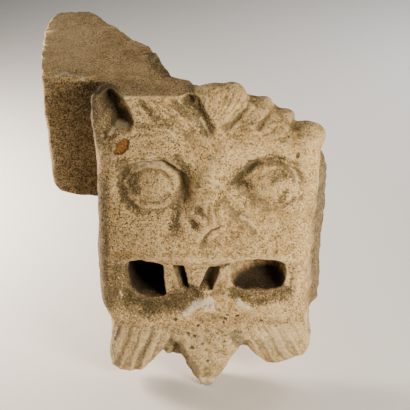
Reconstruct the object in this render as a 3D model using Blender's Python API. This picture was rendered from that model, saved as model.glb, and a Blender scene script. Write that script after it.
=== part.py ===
# Carved head corbel: one block of limestone with a beast's mask on its front and a rough tail
# behind it that is built into the wall. Lengths are in metres, Z is up and the mask looks along -Y.

import math

import bmesh
import bpy
import numpy as np
from mathutils import Matrix, Vector

# Sizes of the mask
HEAD_WIDTH = 0.194          # across the cheeks
HEAD_HEIGHT = 0.2945        # crown lock to the tip of the middle tuft of the beard
HEAD_DEPTH = 0.095          # face to the broken back, at the level of the mouth
RELIEF = 0.010              # unit of depth for the carving

# Sizes of the tail
BED_DROP = 0.009            # upper bed below the crown lock
TAIL_HEIGHT = 0.112         # upper bed to lower bed
TAIL_WIDTH = 0.145          # flank of the tail to the middle of the face
TAIL_FRONT = 0.046          # wall face of the tail, behind the face
TAIL_LENGTH = 0.176         # wall face to the built-in end

# Sizes of the mouth
MOUTH_DEPTH = 0.052         # left cavity, from the lips inwards
BOWL_DEPTH = 0.034          # right cavity, from the lips inwards
GAP_DEPTH = 0.014           # gaps between the teeth, from the lips inwards

# Mesh sizes
VOXEL = 0.0024
TRIANGLES = 9300
MERGE = 0.00001

HALF = HEAD_WIDTH / 2
LIPS = -0.16 * HEAD_DEPTH


# Small helpers

def clear_scene():
    """Empty the file before anything is made."""
    for item in list(bpy.data.objects):
        bpy.data.objects.remove(item, do_unlink=True)


def add_mesh(name, points, faces):
    """Make an object from points and faces."""
    mesh = bpy.data.meshes.new(name)
    mesh.from_pydata([tuple(p) for p in points], [], [tuple(f) for f in faces])
    mesh.update()
    item = bpy.data.objects.new(name, mesh)
    bpy.context.collection.objects.link(item)
    return item


def apply_modifiers(item):
    """Turn the result of the modifiers into the object's own mesh."""
    bpy.context.view_layer.update()
    graph = bpy.context.evaluated_depsgraph_get()
    mesh = bpy.data.meshes.new_from_object(item.evaluated_get(graph))
    item.modifiers.clear()
    item.data = mesh


def read_points(item):
    """Vertex positions as an array of rows."""
    flat = np.empty(len(item.data.vertices) * 3)
    item.data.vertices.foreach_get("co", flat)
    return flat.reshape(-1, 3)


def write_points(item, points):
    """Move the vertices to new positions."""
    item.data.vertices.foreach_set("co", points.ravel())
    item.data.update()


def boolean(item, cutter, operation):
    """Cut with another body or join it, then drop the other body."""
    cutter.hide_render = True
    cutter.display_type = "WIRE"
    modifier = item.modifiers.new("boolean", "BOOLEAN")
    modifier.operation = operation
    modifier.solver = "EXACT"
    modifier.object = cutter
    apply_modifiers(item)
    bpy.data.objects.remove(cutter, do_unlink=True)


def ease(low, high, value):
    """Smooth step from 0 at low to 1 at high."""
    t = np.clip((value - low) / (high - low), 0, 1)
    return t * t * (3 - 2 * t)


# Base forms

def rings_to_mesh(name, rings):
    """Close a stack of rings of equal point count into one body."""
    count = len(rings[0])
    points = [p for ring in rings for p in ring]
    faces = []
    for level in range(len(rings) - 1):
        for i in range(count):
            j = (i + 1) % count
            a = level * count
            b = a + count
            faces.append((a + i, b + i, b + j, a + j))
    faces.append(tuple(range(count)))
    last = (len(rings) - 1) * count
    faces.append(tuple(last + i for i in reversed(range(count))))
    item = add_mesh(name, points, faces)
    shell = bmesh.new()
    shell.from_mesh(item.data)
    bmesh.ops.recalc_face_normals(shell, faces=shell.faces)
    shell.to_mesh(item.data)
    shell.free()
    return item


def loft(name, stations, squareness, levels=36, count=72):
    """Stack of rounded rectangles. A station is (down, left, right, front, back): down in shares
    of the head's height, left and right in shares of its half width, front and back of its depth."""
    table = np.array(stations)
    rings = []
    for down in np.linspace(table[0, 0], table[-1, 0], levels):
        left, right, front, back = (np.interp(down, table[:, 0], table[:, k]) for k in (1, 2, 3, 4))
        ring = []
        for angle in np.linspace(0, 2 * math.pi, count, endpoint=False):
            across = math.copysign(abs(math.cos(angle)) ** (2 / squareness), math.cos(angle))
            inward = math.copysign(abs(math.sin(angle)) ** (2 / squareness), math.sin(angle))
            x = ((left + right) / 2 + (right - left) / 2 * across) * HALF
            y = ((front + back) / 2 + (back - front) / 2 * inward) * HEAD_DEPTH
            ring.append((x, y, -down * HEAD_HEIGHT))
        rings.append(ring)
    return rings_to_mesh(name, rings)


def lobe(name, centre, reach, girth, thick, turn):
    """Lock of hair: an egg that points outwards. centre is (across, down) in shares, turn is the
    angle from straight up, clockwise for the viewer."""
    steps = 28
    rings = []
    for i in range(1, steps):
        along = -math.cos(math.pi * i / steps)
        swell = math.sin(math.pi * i / steps) ** 0.8
        ring = []
        for angle in np.linspace(0, 2 * math.pi, 24, endpoint=False):
            ring.append((girth * swell * math.cos(angle), thick * swell * math.sin(angle), reach * along))
        rings.append(ring)
    item = rings_to_mesh(name, rings)
    place = Vector((centre[0] * HALF, centre[2] * HEAD_DEPTH, -centre[1] * HEAD_HEIGHT))
    item.data.transform(Matrix.Translation(place) @ Matrix.Rotation(turn, 4, "Y"))
    return item


def flank_block():
    """Right side of the block. It leans outwards behind the face and ends in a broken edge.
    A station is (down, front edge, outer edge, back) in shares."""
    table = np.array([
        (0.222, 0.945, 0.975, 0.60), (0.262, 0.955, 0.985, 0.72), (0.282, 0.96, 0.995, 0.76),
        (0.298, 0.96, 1.055, 0.78), (0.350, 0.95, 1.066, 0.82), (0.440, 0.92, 1.062, 0.90),
        (0.475, 0.91, 1.050, 0.94), (0.545, 0.905, 1.042, 0.93), (0.617, 0.91, 1.044, 0.92),
        (0.672, 0.91, 1.052, 0.88), (0.742, 0.91, 1.056, 0.80), (0.752, 0.91, 1.045, 0.76)])
    rings = []
    for down in np.linspace(table[0, 0], table[-1, 0], 34):
        near, outer, back = (np.interp(down, table[:, 0], table[:, k]) for k in (1, 2, 3))
        plan = [(0.50, 0.10), (near - 0.03, 0.05), (near, 0.10), (outer - 0.035, 0.30), (outer, 0.44),
                (outer, back - 0.08), (outer - 0.06, back), (0.50, back)]
        rings.append([(a * HALF, b * HEAD_DEPTH, -down * HEAD_HEIGHT) for a, b in plan])
    return rings_to_mesh("right_flank", rings)


def tail_block():
    """Slab with a broken corner. Plan points are (across, inward) in shares of the tail's width to
    the middle of the face and of its length; the break leans out towards the lower bed."""
    top = [(-0.61, -0.07), (-0.985, 0.01), (-1.02, 0.25), (-1.075, 0.72), (-1.065, 0.86),
           (-1.03, 0.96), (-0.99, 1.03), (-0.88, 1.03), (-0.79, 0.98), (-0.69, 0.82),
           (-0.52, 0.57), (-0.42, 0.45), (-0.37, 0.38), (-0.24, 0.0), (-0.18, -0.03),
           (-0.13, -0.05), (-0.13, -0.22), (-0.61, -0.22)]
    bottom = [(-0.61, -0.05), (-0.955, 0.02), (-1.0, 0.25), (-1.05, 0.72), (-1.05, 0.86),
              (-1.04, 0.96), (-1.02, 1.03), (-0.50, 1.03), (-0.38, 0.98), (-0.30, 0.82),
              (-0.20, 0.68), (-0.12, 0.58), (-0.05, 0.46), (0.10, 0.28), (0.22, 0.16),
              (0.46, 0.02), (0.46, -0.2), (-0.61, -0.2)]
    levels = 24
    spare = 0.004
    rings = []
    for level in range(levels + 1):
        t = level / levels
        z = -BED_DROP + spare - t * (TAIL_HEIGHT + 2 * spare)
        worn = 0.08 * max(0.0, (t - 0.86) / 0.14) ** 2
        ring = []
        for (a, b), (c, d) in zip(top, bottom):
            x = (a + (c - a) * t + worn * (a < -0.9) * (b < 0.5)) * TAIL_WIDTH
            y = TAIL_FRONT + (b + (d - b) * t) * TAIL_LENGTH
            ring.append((x, y, z))
        rings.append(ring)
    return rings_to_mesh("tail", rings)


def base_forms():
    """The simple bodies that the mask is carved from."""
    forms = []
    forms.append(loft("skull", [
        (0.026, -0.94, -0.14, 0.02, 0.28), (0.036, -0.96, 0.05, 0.03, 0.28),
        (0.050, -0.97, 0.24, 0.03, 0.31), (0.070, -0.98, 0.46, 0.03, 0.36),
        (0.095, -0.98, 0.58, 0.03, 0.39), (0.125, -0.98, 0.68, 0.03, 0.41),
        (0.160, -0.975, 0.77, 0.01, 0.43), (0.185, -0.975, 0.94, -0.01, 0.46),
        (0.205, -0.975, 0.96, -0.02, 0.58), (0.290, -0.985, 0.965, -0.05, 0.82),
        (0.400, -0.99, 0.93, -0.10, 0.94), (0.470, -0.995, 0.92, -0.13, 1.0),
        (0.530, -1.01, 0.915, -0.14, 1.0), (0.570, -1.01, 0.92, -0.12, 0.99),
        (0.640, -1.01, 0.92, -0.11, 0.94), (0.690, -1.0, 0.915, -0.11, 0.86),
        (0.720, -0.97, 0.92, -0.10, 0.80), (0.760, -0.92, 0.93, -0.08, 0.70),
        (0.830, -0.89, 0.93, -0.04, 0.56)], 8))
    forms.append(flank_block())
    forms.append(loft("left_tuft", [
        (0.740, -0.93, -0.20, -0.04, 0.56), (0.800, -0.92, -0.25, -0.03, 0.54),
        (0.855, -0.93, -0.36, -0.01, 0.46), (0.905, -0.955, -0.46, 0.01, 0.40),
        (0.952, -0.95, -0.57, 0.05, 0.34), (0.978, -0.87, -0.65, 0.08, 0.30)], 5, 20))
    forms.append(loft("middle_tuft", [
        (0.740, -0.40, 0.42, -0.09, 0.56), (0.800, -0.37, 0.40, -0.07, 0.54),
        (0.850, -0.32, 0.34, -0.06, 0.48), (0.890, -0.275, 0.27, -0.05, 0.44),
        (0.931, -0.235, 0.20, -0.04, 0.39), (0.966, -0.180, 0.13, -0.025, 0.33),
        (0.999, -0.110, 0.07, -0.01, 0.27), (1.014, -0.085, 0.045, 0.0, 0.24)], 4, 26))
    forms.append(loft("right_tuft", [
        (0.740, 0.24, 0.93, -0.04, 0.56), (0.800, 0.27, 0.95, -0.03, 0.54),
        (0.850, 0.305, 0.955, -0.01, 0.48), (0.880, 0.36, 0.95, 0.0, 0.44),
        (0.905, 0.43, 0.93, 0.02, 0.40), (0.922, 0.48, 0.83, 0.04, 0.37),
        (0.938, 0.52, 0.71, 0.06, 0.34), (0.950, 0.545, 0.63, 0.08, 0.32)], 5, 22))
    # Stone left standing in the two notches, behind the fronts of the tufts
    forms.append(loft("left_web", [
        (0.780, -0.50, -0.20, 0.08, 0.50), (0.900, -0.46, -0.22, 0.11, 0.42),
        (0.927, -0.44, -0.25, 0.14, 0.36)], 4, 12, 32))
    forms.append(loft("right_web", [
        (0.780, 0.18, 0.50, 0.06, 0.50), (0.865, 0.26, 0.42, 0.08, 0.44),
        (0.885, 0.30, 0.37, 0.11, 0.38)], 4, 10, 32))
    forms.append(loft("ear_blade", [
        (0.030, -0.985, -0.93, 0.02, 0.10), (0.060, -1.0, -0.90, 0.01, 0.22),
        (0.110, -1.01, -0.865, 0.01, 0.42), (0.200, -0.985, -0.80, 0.0, 0.50),
        (0.260, -0.98, -0.78, 0.0, 0.50)], 4, 18, 32))
    # Locks of the hair: angle from straight up, length, half width, front
    locks = [(-66, 0.190, 0.032, 0.01), (-46, 0.150, 0.044, -0.01), (-6, 0.137, 0.050, 0.0),
             (11, 0.141, 0.070, 0.0), (29, 0.158, 0.052, 0.0), (64, 0.190, 0.034, 0.04),
             (80, 0.240, 0.028, 0.04)]
    for number, (angle, reach, girth, front) in enumerate(locks):
        turn = math.radians(angle)
        middle = reach / 2
        centre = (0.02 + middle * math.sin(turn) * HEAD_HEIGHT / HALF,
                  0.150 - middle * math.cos(turn), front + 0.16)
        forms.append(lobe("lock_%d" % number, centre, middle * HEAD_HEIGHT, girth * HEAD_HEIGHT,
                          0.16 * HEAD_DEPTH, turn))
    forms.append(lobe("ear_stump", (0.845, 0.168, 0.17), 0.052 * HEAD_HEIGHT, 0.040 * HEAD_HEIGHT,
                      0.17 * HEAD_DEPTH, math.radians(97)))
    forms.append(tail_block())
    return forms


# Carving of the mask

def distance_to_path(x, z, path):
    """Distance to a line through share points (across, down), and how far along it."""
    best = np.full(x.shape, 1e9)
    along = np.zeros(x.shape)
    points = [(a * HALF, -d * HEAD_HEIGHT) for a, d in path]
    parts = len(points) - 1
    for i in range(parts):
        (x0, z0), (x1, z1) = points[i], points[i + 1]
        dx, dz = x1 - x0, z1 - z0
        t = np.clip(((x - x0) * dx + (z - z0) * dz) / (dx * dx + dz * dz), 0, 1)
        far = np.hypot(x - x0 - t * dx, z - z0 - t * dz)
        nearer = far < best
        best = np.where(nearer, far, best)
        along = np.where(nearer, (i + t) / parts, along)
    return best, along


def stroke(x, z, path, half_width):
    """Soft furrow or welt along a line: 1 on it, 0 at its half width."""
    far, along = distance_to_path(x, z, path)
    return np.clip(1 - (far / half_width) ** 2, 0, 1) ** 2


def pad(x, z, across, down, wide, high, turn=0.0):
    """Soft round mound: 1 in its middle, 0 at its rim. wide and high are half sizes in metres."""
    px, pz = x - across * HALF, z + down * HEAD_HEIGHT
    c, s = math.cos(turn), math.sin(turn)
    far = ((px * c + pz * s) / wide) ** 2 + ((pz * c - px * s) / high) ** 2
    return np.clip(1 - far, 0, 1) ** 2


def dome(x, z, across, down, wide, high):
    """Ball that stands out of the ground with a clear rim."""
    px, pz = x - across * HALF, z + down * HEAD_HEIGHT
    return np.sqrt(np.clip(1 - (px / wide) ** 2 - (pz / high) ** 2, 0, 1))


def ring(x, z, across, down, wide, high, half_width):
    """Soft welt along an ellipse."""
    px, pz = x - across * HALF, z + down * HEAD_HEIGHT
    far = np.abs(np.sqrt((px / wide) ** 2 + (pz / high) ** 2) - 1) * (wide + high) / 2
    return np.clip(1 - (far / half_width) ** 2, 0, 1) ** 2


def socket(x, z, across, down, wide, high, inner):
    """Hollow of an eye: steep under the brow and towards the nose, soft towards the cheek."""
    px, pz = (x - across * HALF) / wide, (z + down * HEAD_HEIGHT) / high
    far = np.sqrt(px ** 2 + pz ** 2) + 1e-9
    towards_brow = np.clip(0.75 * pz / far + 0.65 * inner * px / far, -1, 1)
    soft = 0.42 - 0.27 * towards_brow
    t = np.clip((1 - far) / soft, 0, 1)
    return t * t * (3 - 2 * t)


def carve_eyes(x, z):
    """Brows, sockets, eyeballs and lids. Proud is negative, cut is positive, in units of RELIEF."""
    unit = HEAD_HEIGHT / 100
    depth = -0.50 * stroke(x, z, [(-0.80, 0.200), (-0.60, 0.170), (-0.36, 0.170), (-0.20, 0.205),
                                  (-0.06, 0.26)], 7.0 * unit)
    depth += -0.50 * stroke(x, z, [(0.06, 0.25), (0.22, 0.200), (0.38, 0.175), (0.60, 0.170),
                                   (0.80, 0.200)], 7.0 * unit)
    for inner, middle, ball in ((1, -0.50, 1.0), (-1, 0.525, 1.12)):
        depth += 0.80 * socket(x, z, middle, 0.302, 11.8 * unit, 8.2 * unit, inner)
        lid = ring(x, z, middle, 0.305, 9.2 * unit, 6.2 * unit, 2.3 * unit)
        upper = ease(-0.03, 0.02, z / HEAD_HEIGHT + 0.309)
        depth += (-0.50 * upper - 0.06) * lid
        wide, high = 7.4 * ball * unit, 5.0 * ball ** 2 * unit
        crisp = dome(x, z, middle - 0.005, 0.309, wide, high)
        soft = pad(x, z, middle - 0.005, 0.309, 1.3 * wide, 1.45 * high)
        depth += -0.90 * (crisp * upper + soft * (1 - upper))
    depth += 0.50 * stroke(x, z, [(-0.46, 0.216), (-0.32, 0.230), (-0.205, 0.270), (-0.19, 0.305),
                                  (-0.26, 0.340), (-0.40, 0.360)], 1.6 * unit)
    depth += 0.55 * stroke(x, z, [(0.17, 0.302), (0.25, 0.262), (0.36, 0.235), (0.55, 0.222),
                                  (0.70, 0.238)], 1.9 * unit)
    return depth


def carve_nose(x, z):
    """Worn nose with its folds, and the pads of the muzzle."""
    unit = HEAD_HEIGHT / 100
    depth = -0.50 * stroke(x, z, [(0.02, 0.18), (0.0, 0.30), (-0.03, 0.39)], 8.5 * unit)
    depth += -0.42 * pad(x, z, -0.05, 0.400, 11.5 * unit, 7.4 * unit)
    depth += 0.40 * stroke(x, z, [(-0.17, 0.30), (-0.26, 0.37), (-0.34, 0.435)], 2.6 * unit)
    depth += 0.20 * stroke(x, z, [(0.12, 0.34), (0.25, 0.39), (0.36, 0.43)], 2.2 * unit)
    depth += 0.45 * pad(x, z, -0.13, 0.40, 2.4 * unit, 2.0 * unit)
    depth += 0.30 * stroke(x, z, [(-0.06, 0.475), (-0.03, 0.440), (0.08, 0.410)], 1.3 * unit)
    for lift in (0.0, 0.034):
        depth += -0.14 * stroke(x, z, [(-0.20, 0.310 + lift), (-0.08, 0.282 + lift),
                                       (0.08, 0.276 + lift)], 1.1 * unit)
    depth += -0.50 * pad(x, z, -0.40, 0.465, 16.5 * unit, 9.5 * unit)
    depth += -0.50 * pad(x, z, 0.42, 0.465, 16.5 * unit, 9.5 * unit)
    return depth


def carve_mouth(x, z):
    """Lips and the sunk band of the teeth, and the welt of the chin."""
    unit = HEAD_HEIGHT / 100
    down = -z / HEAD_HEIGHT
    across = x / HALF
    depth = -0.12 * stroke(x, z, [(-0.78, 0.535), (-0.60, 0.510), (0.0, 0.522), (0.60, 0.510),
                                  (0.76, 0.53)], 2.2 * unit)
    band = ease(0.525, 0.565, down) * (1 - ease(0.640, 0.665, down))
    band = band * ease(-0.84, -0.72, across) * (1 - ease(0.72, 0.82, across))
    depth += 0.24 * band
    depth += 0.50 * stroke(x, z, [(-0.70, 0.660), (-0.40, 0.672), (-0.12, 0.662)], 3.2 * unit)
    depth += 0.45 * stroke(x, z, [(0.24, 0.650), (0.50, 0.655), (0.72, 0.640)], 2.6 * unit)
    depth += -0.26 * stroke(x, z, [(-0.60, 0.745), (-0.24, 0.720), (0.0, 0.695), (0.30, 0.700),
                                   (0.62, 0.715)], 4.6 * unit)
    return depth


def carve_hair(x, z):
    """Furrows between the locks, and the hollow of the ear."""
    unit = HEAD_HEIGHT / 100
    depth = 0.75 * stroke(x, z, [(-0.165, 0.048), (-0.11, 0.070), (-0.01, 0.132)], 2.1 * unit)
    depth += 0.40 * pad(x, z, -0.175, 0.046, 2.6 * unit, 1.8 * unit)
    depth += 0.22 * stroke(x, z, [(0.36, 0.036), (0.23, 0.074), (0.10, 0.120)], 1.3 * unit)
    depth += 0.38 * stroke(x, z, [(-0.60, 0.050), (-0.54, 0.070), (-0.46, 0.100)], 1.6 * unit)
    depth += 0.15 * stroke(x, z, [(0.58, 0.060), (0.51, 0.090), (0.42, 0.125)], 1.6 * unit)
    depth += 0.18 * stroke(x, z, [(0.78, 0.105), (0.71, 0.130), (0.60, 0.155)], 1.6 * unit)
    depth += 2.40 * stroke(x, z, [(-0.86, 0.020), (-0.81, 0.062), (-0.755, 0.100)], 4.0 * unit)
    depth += -0.35 * stroke(x, z, [(-0.85, 0.138), (-0.78, 0.130), (-0.66, 0.132)], 1.6 * unit)
    return depth


def carve_beard(x, z):
    """Strands of the three tufts."""
    down = -z / HEAD_HEIGHT
    below = ease(0.735, 0.84, down)
    lean = (down - 0.80) * HEAD_HEIGHT
    left = np.cos((x + 0.28 * lean) / HEAD_WIDTH * 2 * math.pi * 19)
    middle = np.cos(x / HEAD_WIDTH * 2 * math.pi * 15 + 0.6)
    right = np.cos((x - 0.10 * lean) / HEAD_WIDTH * 2 * math.pi * 16)
    on_left = 1 - ease(-0.33, -0.27, x / HALF)
    on_right = ease(0.29, 0.35, x / HALF)
    waves = left * on_left + 0.6 * middle * (1 - on_left) * (1 - on_right) + 0.45 * right * on_right
    return 0.16 * waves * below


def carve(item):
    """Move the front of the block in and out. The carving fades out towards the back."""
    points = read_points(item)
    x, y, z = points[:, 0], points[:, 1], points[:, 2]
    depth = carve_eyes(x, z) + carve_nose(x, z) + carve_mouth(x, z) + carve_hair(x, z)
    depth = (depth + carve_beard(x, z)) * RELIEF
    near = 1 - ease(0.10 * HEAD_DEPTH, 0.46 * HEAD_DEPTH, y)
    sides = ease(-1.20, -1.05, x / HALF)
    wave = np.sin(x * 71 + 1.1) * np.sin(z * 63 + 0.4) + 0.6 * np.sin(x * 151 + z * 117)
    points[:, 1] = y + depth * near * sides + 0.0005 * wave
    write_points(item, points)


# Cut openings

def hollow(name, rings, deepest):
    """Cutter along Y. A ring is (y, share points, size), scaled about the deepest spot."""
    outlines = []
    middle_x, middle_z = deepest
    for y, corners, size in rings:
        outline = []
        for a, d in corners:
            x = (middle_x + (a - middle_x) * size) * HALF
            z = -(middle_z + (d - middle_z) * size) * HEAD_HEIGHT
            outline.append((x, y, z))
        outlines.append(outline)
    return rings_to_mesh(name, outlines)


LEFT_RIM = [(-0.785, 0.578), (-0.760, 0.545), (-0.705, 0.525), (-0.616, 0.521), (-0.528, 0.527),
            (-0.448, 0.536), (-0.412, 0.545), (-0.408, 0.590), (-0.388, 0.650), (-0.415, 0.661),
            (-0.535, 0.661), (-0.643, 0.655), (-0.714, 0.640), (-0.762, 0.612)]
LEFT_INSIDE = [(-0.735, 0.585), (-0.725, 0.550), (-0.690, 0.530), (-0.616, 0.524), (-0.528, 0.530),
               (-0.448, 0.538), (-0.418, 0.547), (-0.410, 0.590), (-0.396, 0.656), (-0.415, 0.669),
               (-0.535, 0.670), (-0.643, 0.664), (-0.700, 0.648), (-0.725, 0.618)]
RIGHT_RIM = [(0.178, 0.560), (0.195, 0.541), (0.245, 0.525), (0.320, 0.517), (0.540, 0.517),
             (0.635, 0.525), (0.678, 0.542), (0.694, 0.570), (0.688, 0.602), (0.655, 0.630),
             (0.600, 0.641), (0.455, 0.645), (0.330, 0.643), (0.235, 0.633), (0.190, 0.606)]
FIRST_RIM = [(-0.335, 0.545), (-0.230, 0.547), (-0.205, 0.585), (-0.180, 0.638), (-0.200, 0.646),
             (-0.262, 0.640), (-0.300, 0.590)]
FIRST_INSIDE = [(-0.275, 0.553), (-0.235, 0.552), (-0.212, 0.587), (-0.190, 0.632), (-0.205, 0.640),
                (-0.238, 0.635), (-0.256, 0.592)]
SECOND_RIM = [(-0.005, 0.553), (0.098, 0.550), (0.080, 0.585), (0.020, 0.640), (-0.105, 0.640),
              (-0.060, 0.600)]


def cut_mouth(item):
    """A deep and a shallow drilled cavity with the teeth left between them, and the gaps of the teeth."""
    clear = 2 * LIPS
    left = [(clear, LEFT_RIM, 1.0), (LIPS + 0.04 * MOUTH_DEPTH, LEFT_RIM, 1.0),
            (LIPS + 0.25 * MOUTH_DEPTH, LEFT_INSIDE, 1.0), (LIPS + 0.80 * MOUTH_DEPTH, LEFT_INSIDE, 0.94),
            (LIPS + 0.95 * MOUTH_DEPTH, LEFT_INSIDE, 0.80), (LIPS + MOUTH_DEPTH, LEFT_INSIDE, 0.50)]
    right = [(clear, RIGHT_RIM, 1.0)]
    for share, size in ((0.10, 1.0), (0.35, 0.94), (0.60, 0.82), (0.82, 0.64), (1.0, 0.36)):
        right.append((LIPS + share * BOWL_DEPTH, RIGHT_RIM, size))
    first = [(clear, FIRST_RIM, 1.0), (LIPS + 0.45 * GAP_DEPTH, FIRST_RIM, 1.0),
             (LIPS + GAP_DEPTH, FIRST_INSIDE, 1.0), (LIPS + 1.6 * GAP_DEPTH, FIRST_INSIDE, 0.8)]
    second = [(clear, SECOND_RIM, 1.0), (LIPS + 0.5 * GAP_DEPTH, SECOND_RIM, 1.0),
              (LIPS + GAP_DEPTH, SECOND_RIM, 0.85), (LIPS + 1.2 * GAP_DEPTH, SECOND_RIM, 0.6)]
    for name, rings, deepest in (
            ("left_hole", left, (-0.56, 0.60)), ("right_hole", right, (0.56, 0.605)),
            ("first_gap", first, (-0.225, 0.60)), ("second_gap", second, (0.0, 0.60))):
        boolean(item, hollow(name, rings, deepest), "DIFFERENCE")


def cut_beds(item):
    """Dress the upper bed, the lower bed and the built-in end flat."""
    wide = 3 * TAIL_WIDTH
    end = TAIL_FRONT + TAIL_LENGTH
    low = -BED_DROP - TAIL_HEIGHT
    boxes = [
        ("over", (-wide, -0.080 * TAIL_WIDTH), (-HEAD_DEPTH, 2 * end), (-BED_DROP, BED_DROP * 3)),
        ("under", (-wide, wide), (1.02 * HEAD_DEPTH, 2 * end), (low - TAIL_HEIGHT, low)),
        ("side_under", (-wide, -1.005 * HALF), (-HEAD_DEPTH, 2 * end), (low - TAIL_HEIGHT, low)),
        ("behind", (-wide, wide), (end, 2 * end), (2 * low, -low))]
    for name, xs, ys, zs in boxes:
        rings = [[(xs[0], ys[0], z), (xs[1], ys[0], z), (xs[1], ys[1], z), (xs[0], ys[1], z)]
                 for z in zs]
        boolean(item, rings_to_mesh(name, rings), "DIFFERENCE")


# One closed body

def voxel_remesh(item, size):
    """Fuse everything into one skin of even cells."""
    modifier = item.modifiers.new("remesh", "REMESH")
    modifier.mode = "VOXEL"
    modifier.voxel_size = size
    modifier.adaptivity = 0
    apply_modifiers(item)


def smooth(item, factor, passes):
    """Wear the edges down a little."""
    modifier = item.modifiers.new("smooth", "SMOOTH")
    modifier.factor = factor
    modifier.iterations = passes
    apply_modifiers(item)


def thin_out(item, target):
    """Reduce to a number of triangles, most of them where the form bends."""
    shell = bmesh.new()
    shell.from_mesh(item.data)
    bmesh.ops.triangulate(shell, faces=shell.faces)
    count = len(shell.faces)
    shell.to_mesh(item.data)
    shell.free()
    modifier = item.modifiers.new("decimate", "DECIMATE")
    modifier.ratio = target / count
    modifier.use_collapse_triangulate = True
    apply_modifiers(item)


def tidy(item):
    """Weld doubles, keep the largest shell and face everything outwards."""
    shell = bmesh.new()
    shell.from_mesh(item.data)
    bmesh.ops.triangulate(shell, faces=shell.faces)
    bmesh.ops.remove_doubles(shell, verts=shell.verts, dist=MERGE)
    bmesh.ops.dissolve_degenerate(shell, edges=shell.edges, dist=MERGE)
    bmesh.ops.triangulate(shell, faces=shell.faces)
    seen = set()
    shells = []
    for vertex in shell.verts:
        if vertex in seen:
            continue
        group = []
        stack = [vertex]
        seen.add(vertex)
        while stack:
            here = stack.pop()
            group.append(here)
            for edge in here.link_edges:
                other = edge.other_vert(here)
                if other not in seen:
                    seen.add(other)
                    stack.append(other)
        shells.append(group)
    shells.sort(key=len)
    for group in shells[:-1]:
        bmesh.ops.delete(shell, geom=group, context="VERTS")
    bmesh.ops.recalc_face_normals(shell, faces=shell.faces)
    shell.to_mesh(item.data)
    shell.free()


def stone_material():
    """Pale brown limestone, matt."""
    material = bpy.data.materials.new("limestone")
    material.use_nodes = True
    surface = material.node_tree.nodes["Principled BSDF"]
    surface.inputs["Base Color"].default_value = (0.48, 0.34, 0.21, 1)
    surface.inputs["Roughness"].default_value = 0.92
    surface.inputs["Metallic"].default_value = 0.0
    return material


def build():
    """Fuse, carve, cut, thin out and move the origin to the built-in end."""
    clear_scene()
    forms = base_forms()
    block = forms[0]
    block.name = "head_corbel"
    merged = bmesh.new()
    for form in forms:
        merged.from_mesh(form.data)
    merged.to_mesh(block.data)
    merged.free()
    for form in forms[1:]:
        bpy.data.objects.remove(form, do_unlink=True)
    voxel_remesh(block, VOXEL)
    smooth(block, 0.5, 3)
    carve(block)
    cut_mouth(block)
    voxel_remesh(block, VOXEL * 0.8)
    smooth(block, 0.5, 2)
    thin_out(block, TRIANGLES)
    cut_beds(block)
    tidy(block)
    end_x = -0.86 * TAIL_WIDTH
    end_z = -BED_DROP - TAIL_HEIGHT / 2
    origin = Vector((end_x, TAIL_FRONT + TAIL_LENGTH, end_z))
    block.data.transform(Matrix.Translation(-origin))
    block.data.name = "head_corbel"
    block.data.materials.clear()
    block.data.materials.append(stone_material())
    print("triangles", len(block.data.polygons), "span", [round(v, 4) for v in block.dimensions])


build()
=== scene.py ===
# %% [markdown]
# # A carved head corbel
#
# A corbel is a stone bracket. This one is a single block of limestone: a grotesque beast's mask
# on the front, and a rough tail behind it that was built into the wall. The mask is worn, pitted
# and chipped, and one corner of the tail has broken away.
#
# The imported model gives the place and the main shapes. The finer relief is made here, on a much
# finer mesh of the same block: strands of hair, rims of the eyes, pits, chips and tool marks.

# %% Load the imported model
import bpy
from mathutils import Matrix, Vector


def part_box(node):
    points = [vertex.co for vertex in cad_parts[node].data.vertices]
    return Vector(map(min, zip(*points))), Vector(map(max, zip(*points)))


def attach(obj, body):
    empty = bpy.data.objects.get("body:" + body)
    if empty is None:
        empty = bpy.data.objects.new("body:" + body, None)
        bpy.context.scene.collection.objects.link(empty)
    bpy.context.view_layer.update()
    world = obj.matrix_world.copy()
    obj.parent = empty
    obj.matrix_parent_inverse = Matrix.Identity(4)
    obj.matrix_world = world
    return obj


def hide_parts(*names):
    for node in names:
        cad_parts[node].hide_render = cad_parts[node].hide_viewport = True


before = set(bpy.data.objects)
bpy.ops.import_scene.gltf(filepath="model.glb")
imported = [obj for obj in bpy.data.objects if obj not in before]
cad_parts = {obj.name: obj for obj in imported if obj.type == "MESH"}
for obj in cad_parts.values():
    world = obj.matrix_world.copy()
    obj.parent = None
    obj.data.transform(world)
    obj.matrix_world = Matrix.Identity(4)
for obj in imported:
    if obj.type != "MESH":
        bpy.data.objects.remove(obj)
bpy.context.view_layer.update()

packed_low, packed_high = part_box("head_corbel")
print("packed box", [round(v, 4) for v in packed_low], [round(v, 4) for v in packed_high])

# %% [markdown]
# ## Measures
#
# Everything is worked out from the sizes of the block. While it is carved, the block has its
# zero at the crown, in the middle of the face, as a carver sets out a block from its front. The
# last step moves it to the built-in end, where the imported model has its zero.
# Places on the mask are shares: *across* is 0 in the middle of the face and 1 at the cheek, and
# *down* is 0 at the crown and 1 at the tip of the beard.

# %% Sizes of the block, in metres
import math

import bmesh
import bpy
import numpy as np
from mathutils import Matrix, Vector, noise

HEAD_WIDTH = 0.194
HEAD_HEIGHT = 0.2945
HEAD_DEPTH = 0.095
TAIL_WIDTH = 0.145
TAIL_HEIGHT = 0.112
TAIL_FRONT = 0.046
TAIL_LENGTH = 0.176
BED_DROP = 0.009
MOUTH_DEPTH = 0.052
BOWL_DEPTH = 0.034
GAP_DEPTH = 0.014

HALF = HEAD_WIDTH / 2
MM = 0.001
ZERO = Vector((-0.86 * TAIL_WIDTH, TAIL_FRONT + TAIL_LENGTH, -BED_DROP - TAIL_HEIGHT / 2))

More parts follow.
